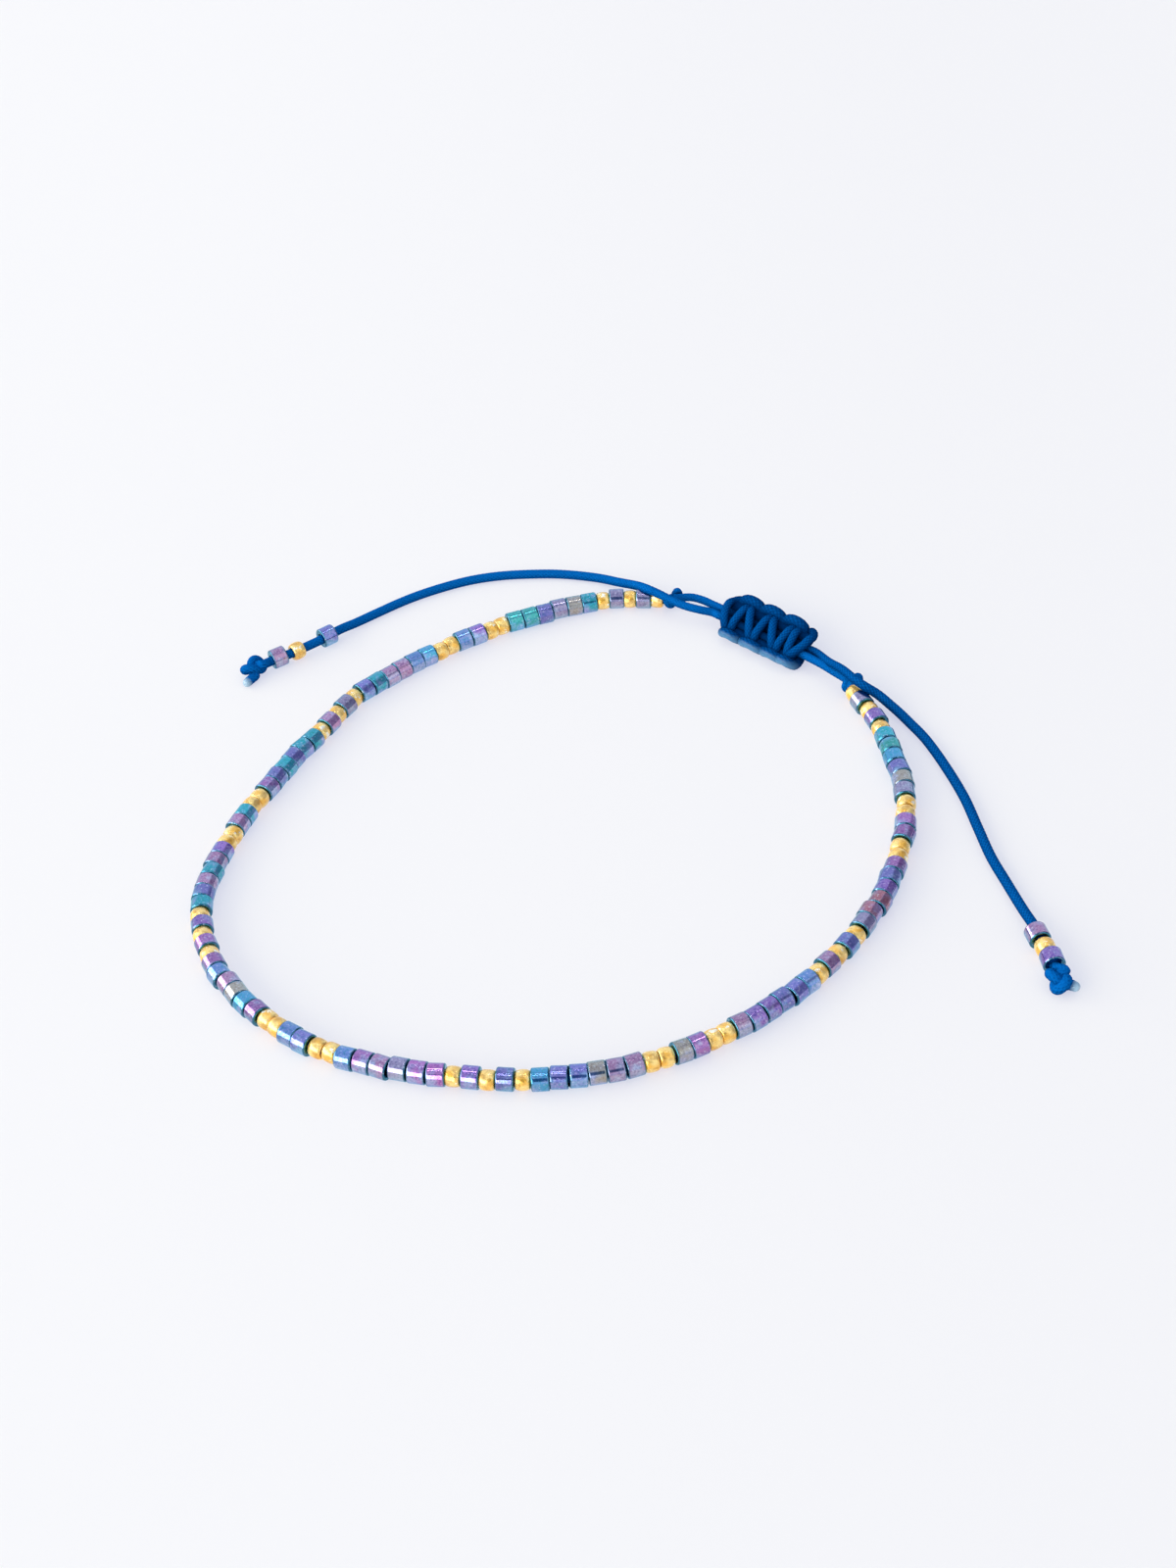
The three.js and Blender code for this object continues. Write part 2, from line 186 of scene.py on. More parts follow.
class Lustre(Enum):
    """Tints of the iris coating: chart letter, face colour, and the paler colour that it turns to in patches
    and, as a painted reflection of the floor, over its lower sides.
    """

    TEAL = ("t", (0.05, 0.48, 0.62), (0.34, 0.35, 0.64))
    SEA_GREEN = ("g", (0.07, 0.5, 0.5), (0.18, 0.4, 0.64))
    CYAN = ("c", (0.1, 0.43, 0.75), (0.34, 0.37, 0.62))
    BLUE = ("b", (0.2, 0.33, 0.73), (0.4, 0.45, 0.66))
    INDIGO = ("i", (0.28, 0.25, 0.67), (0.26, 0.43, 0.64))
    VIOLET = ("v", (0.4, 0.22, 0.64), (0.32, 0.4, 0.62))
    PURPLE = ("p", (0.5, 0.22, 0.56), (0.34, 0.39, 0.6))
    MAGENTA = ("m", (0.62, 0.22, 0.62), (0.38, 0.39, 0.64))
    LAVENDER = ("l", (0.46, 0.38, 0.6), (0.4, 0.45, 0.58))
    MAUVE = ("u", (0.56, 0.31, 0.52), (0.4, 0.42, 0.58))
    PINK = ("k", (0.64, 0.34, 0.58), (0.36, 0.43, 0.64))
    OLIVE = ("o", (0.5, 0.45, 0.39), (0.42, 0.42, 0.62))
    COPPER = ("r", (0.62, 0.25, 0.29), (0.4, 0.33, 0.58))


LUSTRE_LETTERS = {lustre.value[0]: lustre for lustre in Lustre}

# Lustre of the cylinder beads in order: a pair in each gold group, then a stretch to the next group
LUSTRE_CHART = (
    "ll", "toligg", "vb", "cbuuti",
    "lk", "ttitip", "tk", "vktuit",
    "vp", "pbuocp", "bi", "bpklmm",
    "vi", "ciiouu", "op", "uvviib",
    "ui", "lrrvip", "pp", "loicgt",
    "vl",
)

# Order of the beads, c a cylinder and r a round gold one: the groups, and the fill between two groups
BEAD_GROUP = "rcrcr"
BEAD_FILL = "ccccccrrccrrcccccc"
GROUP_COUNT = 6


class Slot(Enum):
    """The record's material slots."""

    LUSTRE = "bead_lustre"
    GOLD = "bead_gold"
    CORD = "cord"


def smooth_line(points: np.ndarray, steps: int = 40) -> np.ndarray:
    """Runs a centripetal curve through points.

    Args:
        points: The points to pass through, one row each.
        steps: Straight steps between one point and the next.

    Returns:
        The curve as a dense line of points.
    """
    points = np.asarray(points, float)
    before = 2 * points[0] - points[1]
    after = 2 * points[-1] - points[-2]
    knots = np.vstack([before, points, after])
    share = (np.arange(steps) / steps)[:, None]
    stretches = []
    for number in range(len(points) - 1):
        p0, p1, p2, p3 = knots[number : number + 4]
        d0 = math.sqrt(np.linalg.norm(p1 - p0))
        d1 = math.sqrt(np.linalg.norm(p2 - p1))
        d2 = math.sqrt(np.linalg.norm(p3 - p2))
        out = ((p1 - p0) / d0 - (p2 - p0) / (d0 + d1) + (p2 - p1) / d1) * d1
        into = ((p2 - p1) / d1 - (p3 - p1) / (d1 + d2) + (p3 - p2) / d2) * d1
        square = -3 * p1 + 3 * p2 - 2 * out - into
        cube = 2 * p1 - 2 * p2 + out + into
        stretches.append(p1 + out * share + square * share**2 + cube * share**3)
    return np.vstack([*stretches, points[-1:]])


class Route:
    """A line in space, read by the distance along it."""

    def __init__(self, line: np.ndarray) -> None:
        """Measures the line.

        Args:
            line: Its points in order, close together.
        """
        self.line = np.asarray(line, float)
        steps = np.linalg.norm(np.diff(self.line, axis=0), axis=1)
        self.along = np.concatenate([[0.0], np.cumsum(steps)])

    @property
    def length(self) -> float:
        """The line's whole length."""
        return float(self.along[-1])

    def at(self, distance: float | np.ndarray) -> np.ndarray:
        """The point, or points, at a distance along the line."""
        axes = [np.interp(distance, self.along, axis) for axis in self.line.T]
        return np.stack(axes, axis=-1)

    def heading(self, distance: float, reach: float = 0.2) -> np.ndarray:
        """The unit direction of the line at a distance along it."""
        step = self.at(distance + reach) - self.at(distance - reach)
        return step / np.linalg.norm(step)

    def spaced(self, step: float) -> np.ndarray:
        """The line again with its points about a step apart."""
        count = max(2, math.ceil(self.length / step))
        return self.at(np.linspace(0, self.length, count + 1))


def share_in(values: np.ndarray, span: Span) -> np.ndarray:
    """How far values are through a span, held at 0 below it and at 1 above it."""
    low, high = span
    return np.clip((values - low) / (high - low), 0, 1)


def carried_frames(line: np.ndarray) -> tuple[np.ndarray, np.ndarray]:
    """Carries two cross directions along a line without twisting them.

    Args:
        line: The points of the line.

    Returns:
        Two unit vectors for each point, both square to the line.
    """
    tangents = np.gradient(line, axis=0)
    tangents /= np.linalg.norm(tangents, axis=1, keepdims=True)
    start = UP if abs(tangents[0] @ UP) < NEAR_UPRIGHT else np.array([1.0, 0.0, 0.0])
    first = np.empty_like(line)
    for number, tangent in enumerate(tangents):
        start = start - (start @ tangent) * tangent
        start = start / np.linalg.norm(start)
        first[number] = start
    return first, np.cross(tangents, first)


@dataclass
class MeshParts:
    """Vertices, faces and point values gathered for one mesh, in millimetres."""

    vertices: list[np.ndarray] = field(default_factory=list)
    faces: list[list[int]] = field(default_factory=list)
    values: dict[str, list[np.ndarray]] = field(default_factory=dict)
    count: int = 0

    def add(self, vertices: np.ndarray, faces: list[list[int]], **values: np.ndarray) -> None:
        """Adds one closed form.

        Args:
            vertices: Its points.
            faces: Its faces, as indices into those points.
            **values: One number or one colour for each point.
        """
        self.vertices.append(vertices)
        self.faces.extend([[corner + self.count for corner in face] for face in faces])
        for name, value in values.items():
            self.values.setdefault(name, []).append(value)
        self.count += len(vertices)

    def piece(self, name: str, slot: Slot, node: str) -> bpy.types.Object:
        """Makes the mesh as a smooth-shaded piece and ties it to the frame.

        Args:
            name: The piece's name.
            slot: The record's slot that it takes its finish from.
            node: The CAD node that it stands for.

        Returns:
            The new piece, linked to the scene.
        """
        mesh = bpy.data.meshes.new(name)
        mesh.from_pydata((np.vstack(self.vertices) * MM).tolist(), [], self.faces)
        for key, stretches in self.values.items():
            data = np.concatenate(stretches).astype(np.float32)
            if data.ndim == 2:
                colours = np.concatenate([data, np.ones((len(data), 1), np.float32)], axis=1)
                layer = mesh.attributes.new(key, "FLOAT_COLOR", "POINT")
                layer.data.foreach_set("color", colours.ravel())
            else:
                layer = mesh.attributes.new(key, "FLOAT", "POINT")
                layer.data.foreach_set("value", data)
        mesh.shade_smooth()
        mesh.materials.append(finish_of(slot))
        made = bpy.data.objects.new(name, mesh)
        bpy.context.scene.collection.objects.link(made)
        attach(made, BODY)
        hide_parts(node)
        LOG.info("%s: %d faces, stands for %s", name, len(self.faces), node)
        return made


@dataclass(frozen=True)
class Braid:
    """A round braid of two sets of yarns that wind opposite ways, over and under each other."""

    radius: float = CORD_RADIUS
    yarns: int = 8
    cell: float = 0.36
    relief: float = 0.04
    sides: int = 32
    step: float = 0.065
    over_rise: float = 0.8
    tip_length: float = 0.55
    melt_curve: float = 0.7
    tip_round: Span = (0.6, 0.75)
    # The rise at which a side counts as lit and how dark the underside goes paint shade on the cord's sides
    # and underside; the curve after them keeps the coat and the painted sheen to the sides that face down.
    lit_rise: Span = (-0.1, 0.8)
    underside_shade: float = 0.55
    coat_sheen_curve: float = 0.6

    def relief_at(self, turn: np.ndarray, distance: np.ndarray) -> np.ndarray:
        """Height of the yarns over the braid's valleys.

        Args:
            turn: Shares of a turn round the cord.
            distance: Distances along the cord, of the same shape.

        Returns:
            Heights from about 0 to 1.
        """
        right = self.yarns * turn + distance / self.cell
        left = self.yarns * turn - distance / self.cell
        crowns = []
        for own, other, hand in ((right, left, 1), (left, right, -1)):
            yarn = np.floor(own)
            bulge = np.sqrt(np.clip(1 - (2 * (own - yarn) - 1) ** 2, 0, 1))
            over = hand * np.cos(math.pi * (other - 0.5 + yarn))
            crowns.append(bulge + self.over_rise * over)
        return np.clip(np.maximum(*crowns) / (1 + self.over_rise), 0, 1)

    def tube(
        self,
        parts: MeshParts,
        line: np.ndarray,
        tip: bool = False,
        tone: float | np.ndarray = 1.0,
        gloss: float | np.ndarray = 0.0,
        swell: float | np.ndarray = 1.0,
    ) -> None:
        """Adds a braided tube along a line.

        Args:
            parts: The mesh that takes the tube.
            line: The points that the cord follows.
            tip: Whether its far end is cut and melted to a blunt tip.
            tone: How far its yarns are lit out of the painted shade of the grooves, for all the line or for
                each point; below 1 it paints shade on the whole stretch.
            gloss: How much clear coat and painted pale sheen its sides that face down carry, in the same way.
            swell: How far it is spread from its plain radius, in the same way.
        """
        route = Route(line)
        rings = route.spaced(self.step)
        distance = np.linspace(0, route.length, len(rings))
        tones, glosses, swells = (
            np.interp(distance, route.along, np.broadcast_to(value, len(line)))
            for value in (tone, gloss, swell)
        )
        turn = np.arange(self.sides) / self.sides
        height = self.relief_at(*np.meshgrid(turn, distance))
        melt = np.zeros(len(rings))
        narrow = np.ones(len(rings))
        if tip:
            left = (route.length - distance) / self.tip_length
            round_from, rounding = self.tip_round
            melt = np.clip(1 - left, 0, 1) ** self.melt_curve
            narrow = np.sqrt(1 - np.clip(1 - left / round_from, 0, 1) ** 2 * rounding)
        height = height * (1 - melt[:, None])
        radius = (self.radius * swells[:, None] - self.relief * (1 - height)) * narrow[:, None]
        first, second = (frame[:, None] for frame in carried_frames(rings))
        angle = 2 * math.pi * turn[:, None]
        outward = first * np.cos(angle) + second * np.sin(angle)
        points = rings[:, None] + radius[:, :, None] * outward
        # Painted light and shade: the braid value runs from the grooves' painted shade to painted light,
        # dimmed by the tone and, as painted shade, on the sides and underside.
        upward = share_in(outward[:, :, 2], self.lit_rise)
        lit_share = height * tones[:, None] * (self.underside_shade + (1 - self.underside_shade) * upward)
        # Coat and painted pale sheen, kept to the sides that face down.
        coat_sheen = glosses[:, None] * (1 - upward) ** self.coat_sheen_curve
        faces = []
        for base in range(0, (len(rings) - 1) * self.sides, self.sides):
            above = base + self.sides
            for side in range(self.sides):
                after = (side + 1) % self.sides
                faces.append([base + side, base + after, above + after, above + side])
        total = len(rings) * self.sides
        last = total - self.sides
        for side in range(self.sides):
            after = (side + 1) % self.sides
            faces.append([total, after, side])
            faces.append([total + 1, last + side, last + after])
        parts.add(
            np.vstack([points.reshape(-1, 3), rings[:1], rings[-1:]]),
            faces,
            braid=np.concatenate([lit_share.ravel(), [0.0, 0.0]]),
            melt=np.concatenate([np.repeat(melt, self.sides), [0.0, melt[-1]]]),
            gloss=np.concatenate([np.maximum(melt[:, None], coat_sheen).ravel(), [0.0, melt[-1]]]),
        )


@dataclass(frozen=True)
class CylinderBead:
    """A cylinder seed bead with a wide hole and rounded edges."""

    length: float = 1.3
    radius: float = 0.84
    hole: float = 0.43
    edge: float = 0.13
    lip: float = 0.05
    land: float = 0.02
    sides: int = 40

    def profile(self) -> np.ndarray:
        """The wall's closed outline.

        Returns:
            Rows of a place along the axis and a radius.
        """
        half = self.length / 2
        rows = [(place * (half - self.edge), self.radius) for place in (-0.96, -0.5, 0.0, 0.5, 0.96)]
        right = []
        for angle in np.radians((0, 22.5, 45, 67.5, 90)):
            along = half - self.edge * (1 - math.sin(angle))
            right.append((along, self.radius - self.edge * (1 - math.cos(angle))))
        right.append((half, self.radius - self.edge - self.land))
        right.append((half, self.hole + self.lip + self.land))
        for angle in np.radians((0, 45, 90)):
            along = half - self.lip * (1 - math.cos(angle))
            right.append((along, self.hole + self.lip * (1 - math.sin(angle))))
        rows += right
        rows += [(-along, radius) for along, radius in reversed(right)]
        return np.array(rows)


@dataclass(frozen=True)
class RoundBead:
    """A plated round seed bead, a little wider than it is long."""

    length: float = 1.1
    radius: float = 0.755
    hole: float = 0.41
    shoulder: float = 0.24
    end_curve: float = 0.9
    side_curve: float = 0.75
    bore: tuple[Span, ...] = ((0.93, 0.02), (0.8, 0.0))
    sides: int = 36

    def profile(self) -> np.ndarray:
        """The wall's closed outline.

        Returns:
            Rows of a place along the axis and a radius.
        """
        half = self.length / 2
        rows = []
        for angle in np.radians(np.linspace(-84, 84, 13)):
            along = math.copysign(abs(math.sin(angle)) ** self.end_curve, angle) * half
            rows.append((along, self.radius - self.shoulder * (1 - math.cos(angle) ** self.side_curve)))
        bore = [(half * share, self.hole + flare) for share, flare in self.bore]
        rows += bore
        rows += [(-along, radius) for along, radius in reversed(bore)]
        return np.array(rows)


def lathe(profile: np.ndarray, sides: int) -> tuple[np.ndarray, np.ndarray, list[list[int]]]:
    """Turns a closed outline about the X axis.

    Args:
        profile: Rows of a place along the axis and a radius.
        sides: Steps in one turn.

    Returns:
        The points, the bearing of each point from +Z in radians, and the faces.
    """
    angle = np.arange(sides) * 2 * math.pi / sides
    along = np.repeat(profile[:, 0], sides)
    radius = np.repeat(profile[:, 1], sides)
    bearing = np.tile(angle, len(profile))
    points = np.stack([along, radius * np.sin(bearing), radius * np.cos(bearing)], axis=1)
    faces = []
    for row in range(len(profile)):
        below = row * sides
        above = ((row + 1) % len(profile)) * sides
        for side in range(sides):
            after = (side + 1) % sides
            faces.append([below + side, above + side, above + after, below + after])
    return points, bearing, faces


def standing_frame(heading: np.ndarray) -> np.ndarray:
    """The matrix that turns +X to a heading and keeps +Z as near upright as it can be."""
    across = np.cross(UP, heading)
    across = across / np.linalg.norm(across)
    return np.stack([heading, across, np.cross(heading, across)], axis=1)


@dataclass
class BeadMaker:
    """Places beads one by one, each a little out of true as hand-strung beads are."""

    seed: int = 7
    yaw_deg: float = 3.5
    pitch_deg: float = 1.6
    sway: float = 0.05
    lift: float = 0.03
    dent: float = 0.016
    dent_waves: tuple[tuple[int, int], ...] = ((3, 0), (5, 4), (2, -6))
    strength: Span = (0.64, 0.86)
    # The second tint's gain and the spread of its turn over the lower sides, which paints the floor's
    # reflection there.
    turned_gain: float = 1.4
    sweep_spread: Span = (0.35, 0.8)
    # Where along the bead, as a share of its length from the middle, the painted shade at its ends begins and
    # is full.
    rim: Span = (0.4, 0.46)
    cylinder: CylinderBead = CylinderBead()
    round_bead: RoundBead = RoundBead()

    def __post_init__(self) -> None:
        """Starts the repeatable chance that the beads share."""
        self.chance = np.random.default_rng(self.seed)

    def place(self, points: np.ndarray, centre: np.ndarray, heading: np.ndarray) -> np.ndarray:
        """Turns a bead along the string with a small tilt and shift of its own.

        Args:
            points: The bead's points about its own centre.
            centre: Where it sits.
            heading: The string's direction there.

        Returns:
            The points in place, none of them below the surface.
        """
        yaw = math.radians(self.chance.normal(0, self.yaw_deg))
        pitch = math.radians(self.chance.normal(0, self.pitch_deg))
        frame = standing_frame(heading)
        leaned = heading + math.tan(yaw) * frame[:, 1] + math.tan(pitch) * frame[:, 2]
        turned = standing_frame(leaned / np.linalg.norm(leaned))
        placed = points @ turned.T + centre + self.chance.normal(0, self.sway) * frame[:, 1]
        placed[:, 2] += self.chance.uniform(0, self.lift)
        placed[:, 2] -= min(0.0, float(placed[:, 2].min()))
        return placed

    def add_cylinder(
        self, parts: MeshParts, centre: np.ndarray, heading: np.ndarray, lustre: Lustre, stretch: float = 1.0
    ) -> None:
        """Adds a cylinder bead with its two tints, the turn from the top one to the paler one over its lower
        sides as a painted reflection of the floor, and painted shade at its ends.

        Args:
            parts: The mesh that takes the bead.
            centre: Where it sits.
            heading: The string's direction there.
            lustre: Its tint.
            stretch: Its length over the plain length.
        """
        points, bearing, faces = lathe(self.cylinder.profile(), self.cylinder.sides)
        strength = self.chance.uniform(*self.strength)
        _, face, turned = lustre.value
        face_tint = np.tile(np.array(face) * strength, (len(points), 1))
        turn_tint = np.tile(np.array(turned) * (strength * self.turned_gain), (len(points), 1))
        # This value runs from 0 on top to 1 underneath and paints the floor's reflection over the lower
        # sides.
        lean, slant = self.chance.normal(0, self.sweep_spread)
        along = points[:, 0] / self.cylinder.length
        sweep = 0.5 - 0.5 * np.cos(bearing + lean + slant * along)
        # Painted shade at both ends, where the beads meet.
        rim = share_in(np.abs(along), self.rim)
        points[:, 0] *= stretch
        placed = self.place(points, centre, heading)
        parts.add(placed, faces, face_tint=face_tint, turn_tint=turn_tint, sweep=sweep, rim=rim)

    def add_round(self, parts: MeshParts, centre: np.ndarray, heading: np.ndarray) -> None:
        """Adds a gold bead with shallow dents.

        Args:
            parts: The mesh that takes the bead.
            centre: Where it sits.
            heading: The string's direction there.
        """
        points, bearing, faces = lathe(self.round_bead.profile(), self.round_bead.sides)
        phases = self.chance.uniform(0, 2 * math.pi, len(self.dent_waves))
        along = points[:, 0] / self.round_bead.length
        dents = np.zeros(len(points))
        for (turns, runs), phase in zip(self.dent_waves, phases):
            dents += np.sin(turns * bearing + phase + runs * along)
        swell = 1 + self.dent * dents / 2
        points[:, 1:] *= swell[:, None]
        placed = self.place(points, centre, heading)
        # The shade value is lower in the dents, which the gold finish paints darker as painted shade.
        parts.add(placed, faces, shade=0.5 + dents / 6)


class Nodes:
    """Adds nodes to one tree and feeds their sockets."""

    def __init__(self, tree: bpy.types.NodeTree) -> None:
        """Takes the tree."""
        self.tree = tree

    def feed(self, target: Socket, value: object) -> None:
        """Gives a socket its value.

        Args:
            target: The socket.
            value: Another socket, a number, a vector or a colour.
        """
        if isinstance(value, Socket):
            self.tree.links.new(value, target)
        else:
            target.default_value = (*value, 1.0) if target.type == "RGBA" else value

    def fill(self, node: Node, **inputs: object) -> None:
        """Feeds a node's sockets by name, with spaces in a name as underscores."""
        for name, value in inputs.items():
            self.feed(node.inputs[name.replace("_", " ")], value)

    def add(self, kind: str, operation: str = "", **inputs: object) -> Node:
        """Adds a shader node.

        Args:
            kind: Its type name, without the first part that all shader nodes share.
            operation: What it works out, for a node that has a choice.
            **inputs: Values for its sockets.

        Returns:
            The new node.
        """
        made = self.tree.nodes.new(f"ShaderNode{kind}")
        if operation:
            made.operation = operation
        self.fill(made, **inputs)
        return made

    def mix(self, share: Socket, low: object, high: object) -> Socket:
        """Mixes two colours.

        Args:
            share: What says how much of the second colour shows.
            low: The first colour, or the socket that gives it.
            high: The second colour, or the socket that gives it.

        Returns:
            The mixed colour's socket.
        """
        made = self.add("Mix")
        made.data_type = "RGBA"
        for number, value in ((0, share), (6, low), (7, high)):
            self.feed(made.inputs[number], value)
        return made.outputs[2]

    def ramp(self, value: Socket, span: Span, result: Span = (0.0, 1.0)) -> Socket:
        """Maps a value smoothly from one range to another, held at both ends.

        Args:
            value: What is mapped.
            span: The value's low and high.
            result: What they become.

        Returns:
            The mapped value's socket.
        """
        made = self.add("MapRange", Value=value, From_Min=span[0], From_Max=span[1])
        made.interpolation_type = "SMOOTHSTEP"
        self.fill(made, To_Min=result[0], To_Max=result[1])
        return made.outputs["Result"]

    def math(self, operation: str, *values: object) -> Socket:
        """Works out one sum.

        Args:
            operation: Its name.
            *values: Its values in order, as numbers or sockets.

        Returns:
            The result's socket.
        """
        made = self.add("Math", operation)
        for socket, value in zip(made.inputs, values):
            self.feed(socket, value)
        return made.outputs[0]

    def attribute(self, name: str, output: str = "Fac") -> Socket:
        """The socket of a mesh attribute."""
        made = self.add("Attribute")
        made.attribute_name = name
        return made.outputs[output]

    def place(self, output: str = "Object") -> Socket:
        """The socket of the coordinates."""
        return self.add("TexCoord").outputs[output]

    def noise(self, scale: object, roughness: float) -> Socket:
        """The socket of a soft noise over the object."""
        made = self.add("TexNoise", Vector=self.place(), Scale=scale, Detail=2.0, Roughness=roughness)
        return made.outputs["Fac"]


class GrainShadeGlintGroup:
    """The node group of fine grain that all the finishes share, with painted shade in the grain's hollows and
    painted glints on its crowns.
    """

    NAME = "grain_with_painted_shade_and_glints"
    COLOURS = ("Colour", "Deep Colour", "Glint Colour")
    AMOUNTS = ("Scale", "Deep", "Glint")
    # Grain heights at which the painted shade in the hollows and the painted glints on the crowns come in.
    SPANS = {"Deep": (0.5, 0.34), "Glint": (0.6, 0.7)}

    @classmethod
    def tree(cls) -> bpy.types.NodeTree:
        """The group's tree, built on first use.

        Returns:
            A tree with an input for each of the colours and amounts, and outputs Colour and Height.
        """
        found = bpy.data.node_groups.get(cls.NAME)
        if found:
            return found
        tree = bpy.data.node_groups.new(cls.NAME, "ShaderNodeTree")
        sockets = [(name, "INPUT", "Color") for name in cls.COLOURS]
        sockets += [(name, "INPUT", "Float") for name in cls.AMOUNTS]
        sockets += [("Colour", "OUTPUT", "Color"), ("Height", "OUTPUT", "Float")]
        for name, way, kind in sockets:
            tree.interface.new_socket(name, in_out=way, socket_type=f"NodeSocket{kind}")
        nodes = Nodes(tree)
        entry = tree.nodes.new("NodeGroupInput").outputs
        height = nodes.noise(entry["Scale"], 0.6)
        colour = entry["Colour"]
        for amount, span in cls.SPANS.items():
            share = nodes.math("MULTIPLY", nodes.ramp(height, span), entry[amount])
            colour = nodes.mix(share, colour, entry[f"{amount} Colour"])
        nodes.fill(tree.nodes.new("NodeGroupOutput"), Colour=colour, Height=height)
        return tree

    @classmethod
    def place(
        cls, nodes: Nodes, colours: tuple[object, ...], amounts: tuple[float, ...]
    ) -> tuple[Socket, Socket]:
        """Puts the group into a material.

        Args:
            nodes: The material's nodes.
            colours: The surface's colour, the colour of the painted shade in the grain's hollows and that of
                the painted glints on its crowns, as colours or sockets.
            amounts: Grains per metre, and the shares of painted shade in the hollows and of painted glints on
                the crowns from 0 to 1.

        Returns:
            The sockets of the grained colour and of the grain's height.
        """
        group = nodes.add("Group")
        group.node_tree = cls.tree()
        for name, value in zip(cls.COLOURS + cls.AMOUNTS, colours + amounts):
            nodes.feed(group.inputs[name], value)
        return group.outputs["Colour"], group.outputs["Height"]


def new_material(name: str) -> tuple[bpy.types.Material, Nodes]:
    """Starts a material.

    Args:
        name: Its name.

    Returns:
        The material and its nodes.
    """
    material = bpy.data.materials.new(name)
    material.use_nodes = True
    return material, Nodes(material.node_tree)


@dataclass(frozen=True)
class Finish:
    """What the finishes share: a name, grain amounts, with shares of painted shade and painted glints, and
    depth, two roughnesses and what they span.
    """

    name: str
    grain: tuple[float, float, float]
    ripple: float
    rough: Span
    rough_span: Span = (0.3, 0.7)

    def dress(self, nodes: Nodes, height: Socket, **inputs: object) -> None:
        """Feeds the material's shader.

        Args:
            nodes: The material's nodes.
            height: The grain's height, from 0 to 1.
            **inputs: Values for the shader's own sockets.
        """
        bump = nodes.add("Bump", Strength=1.0, Distance=self.ripple, Height=height)
        nodes.fill(nodes.tree.nodes["Principled BSDF"], Normal=bump.outputs["Normal"], **inputs)


@dataclass(frozen=True)
class LustreFinish(Finish):
    """Metallic iris glass: two tints of each bead in soft patches, the second also turned to over the lower
    sides as a painted reflection of the floor, fine grain with painted shade and painted glints, and dark
    teal ends as painted shade where the beads meet.
    """

    name: str = "iris_lustre_glass"
    grain: tuple[float, float, float] = (5500.0, 0.65, 0.5)
    ripple: float = 0.000004
    rough: Span = (0.09, 0.16)
    # Dark teal of the bead ends, painted shade where the beads meet.
    rim: Colour = (0.023, 0.155, 0.25)
    # Pale colour of the painted glints on the grain's crowns.
    glint_fleck: Colour = (0.68, 0.71, 0.8)
    patch_scale: float = 1300.0
    patch_span: Span = (0.5, 0.95)
    # How far the painted floor reflection over the lower sides turns a bead to its second tint.
    sweep_share: float = 0.45

    def build(self) -> bpy.types.Material:
        """Makes the material.

        Returns:
            The new material.
        """
        material, nodes = new_material(self.name)
        cloud = nodes.noise(self.patch_scale, 0.5)
        patch = nodes.math("MULTIPLY_ADD", nodes.attribute("sweep"), self.sweep_share, cloud)
        face, turned = (nodes.attribute(name, "Color") for name in ("face_tint", "turn_tint"))
        tint = nodes.mix(nodes.ramp(patch, self.patch_span), face, turned)
        # Painted shade at the bead ends.
        tint_with_end_shade = nodes.mix(nodes.attribute("rim"), tint, self.rim)
        # Darker tint for the painted shade in the grain's hollows.
        hollow_shade = nodes.add("HueSaturation", Hue=0.44, Saturation=1.4, Value=0.62, Color=tint_with_end_shade)
        colour, height = GrainShadeGlintGroup.place(nodes, (tint_with_end_shade, hollow_shade.outputs["Color"], self.glint_fleck), self.grain)
        self.dress(
            nodes,
            height,
            Base_Color=colour,
            Roughness=nodes.ramp(height, self.rough_span, self.rough),
            Metallic=1.0,
            Specular_Tint=(0.5, 0.85, 1.0),
            Coat_Weight=0.5,
            Coat_Roughness=0.05,
            Coat_IOR=1.6,
        )
        return material


@dataclass(frozen=True)
class GoldFinish(Finish):
    """Bright gold plating, painted darker and more orange in its dents as painted shade."""

    name: str = "gold_plating"
    grain: tuple[float, float, float] = (1500.0, 0.5, 1.0)
    ripple: float = 0.00008
    rough: Span = (0.14, 0.28)
    # dent_span and the dent colour paint shade in the dents; the two colours after the dent colour are
    # painted shade in the grain's hollows and painted glints on its crowns.
    dent_span: Span = (0.2, 0.7)
    bright: Colour = (1.0, 0.68, 0.2)
    dent: Colour = (0.93, 0.47, 0.04)
    hollow_shade: Colour = (0.42, 0.18, 0.005)
    glint_fleck: Colour = (1.0, 0.96, 0.76)

    def build(self) -> bpy.types.Material:
        """Makes the material.

        Returns:
            The new material.
        """
        material, nodes = new_material(self.name)
        plating = nodes.mix(nodes.ramp(nodes.attribute("shade"), self.dent_span), self.dent, self.bright)
        colour, height = GrainShadeGlintGroup.place(nodes, (plating, self.hollow_shade, self.glint_fleck), self.grain)
        self.dress(
            nodes,
            height,
            Base_Color=colour,
            Roughness=nodes.ramp(height, self.rough_span, self.rough),
            Metallic=0.5,
            Specular_Tint=(1.0, 0.9, 0.7),
            Coat_Weight=0.75,
            Coat_Roughness=0.08,
            Coat_IOR=1.7,
        )
        return material


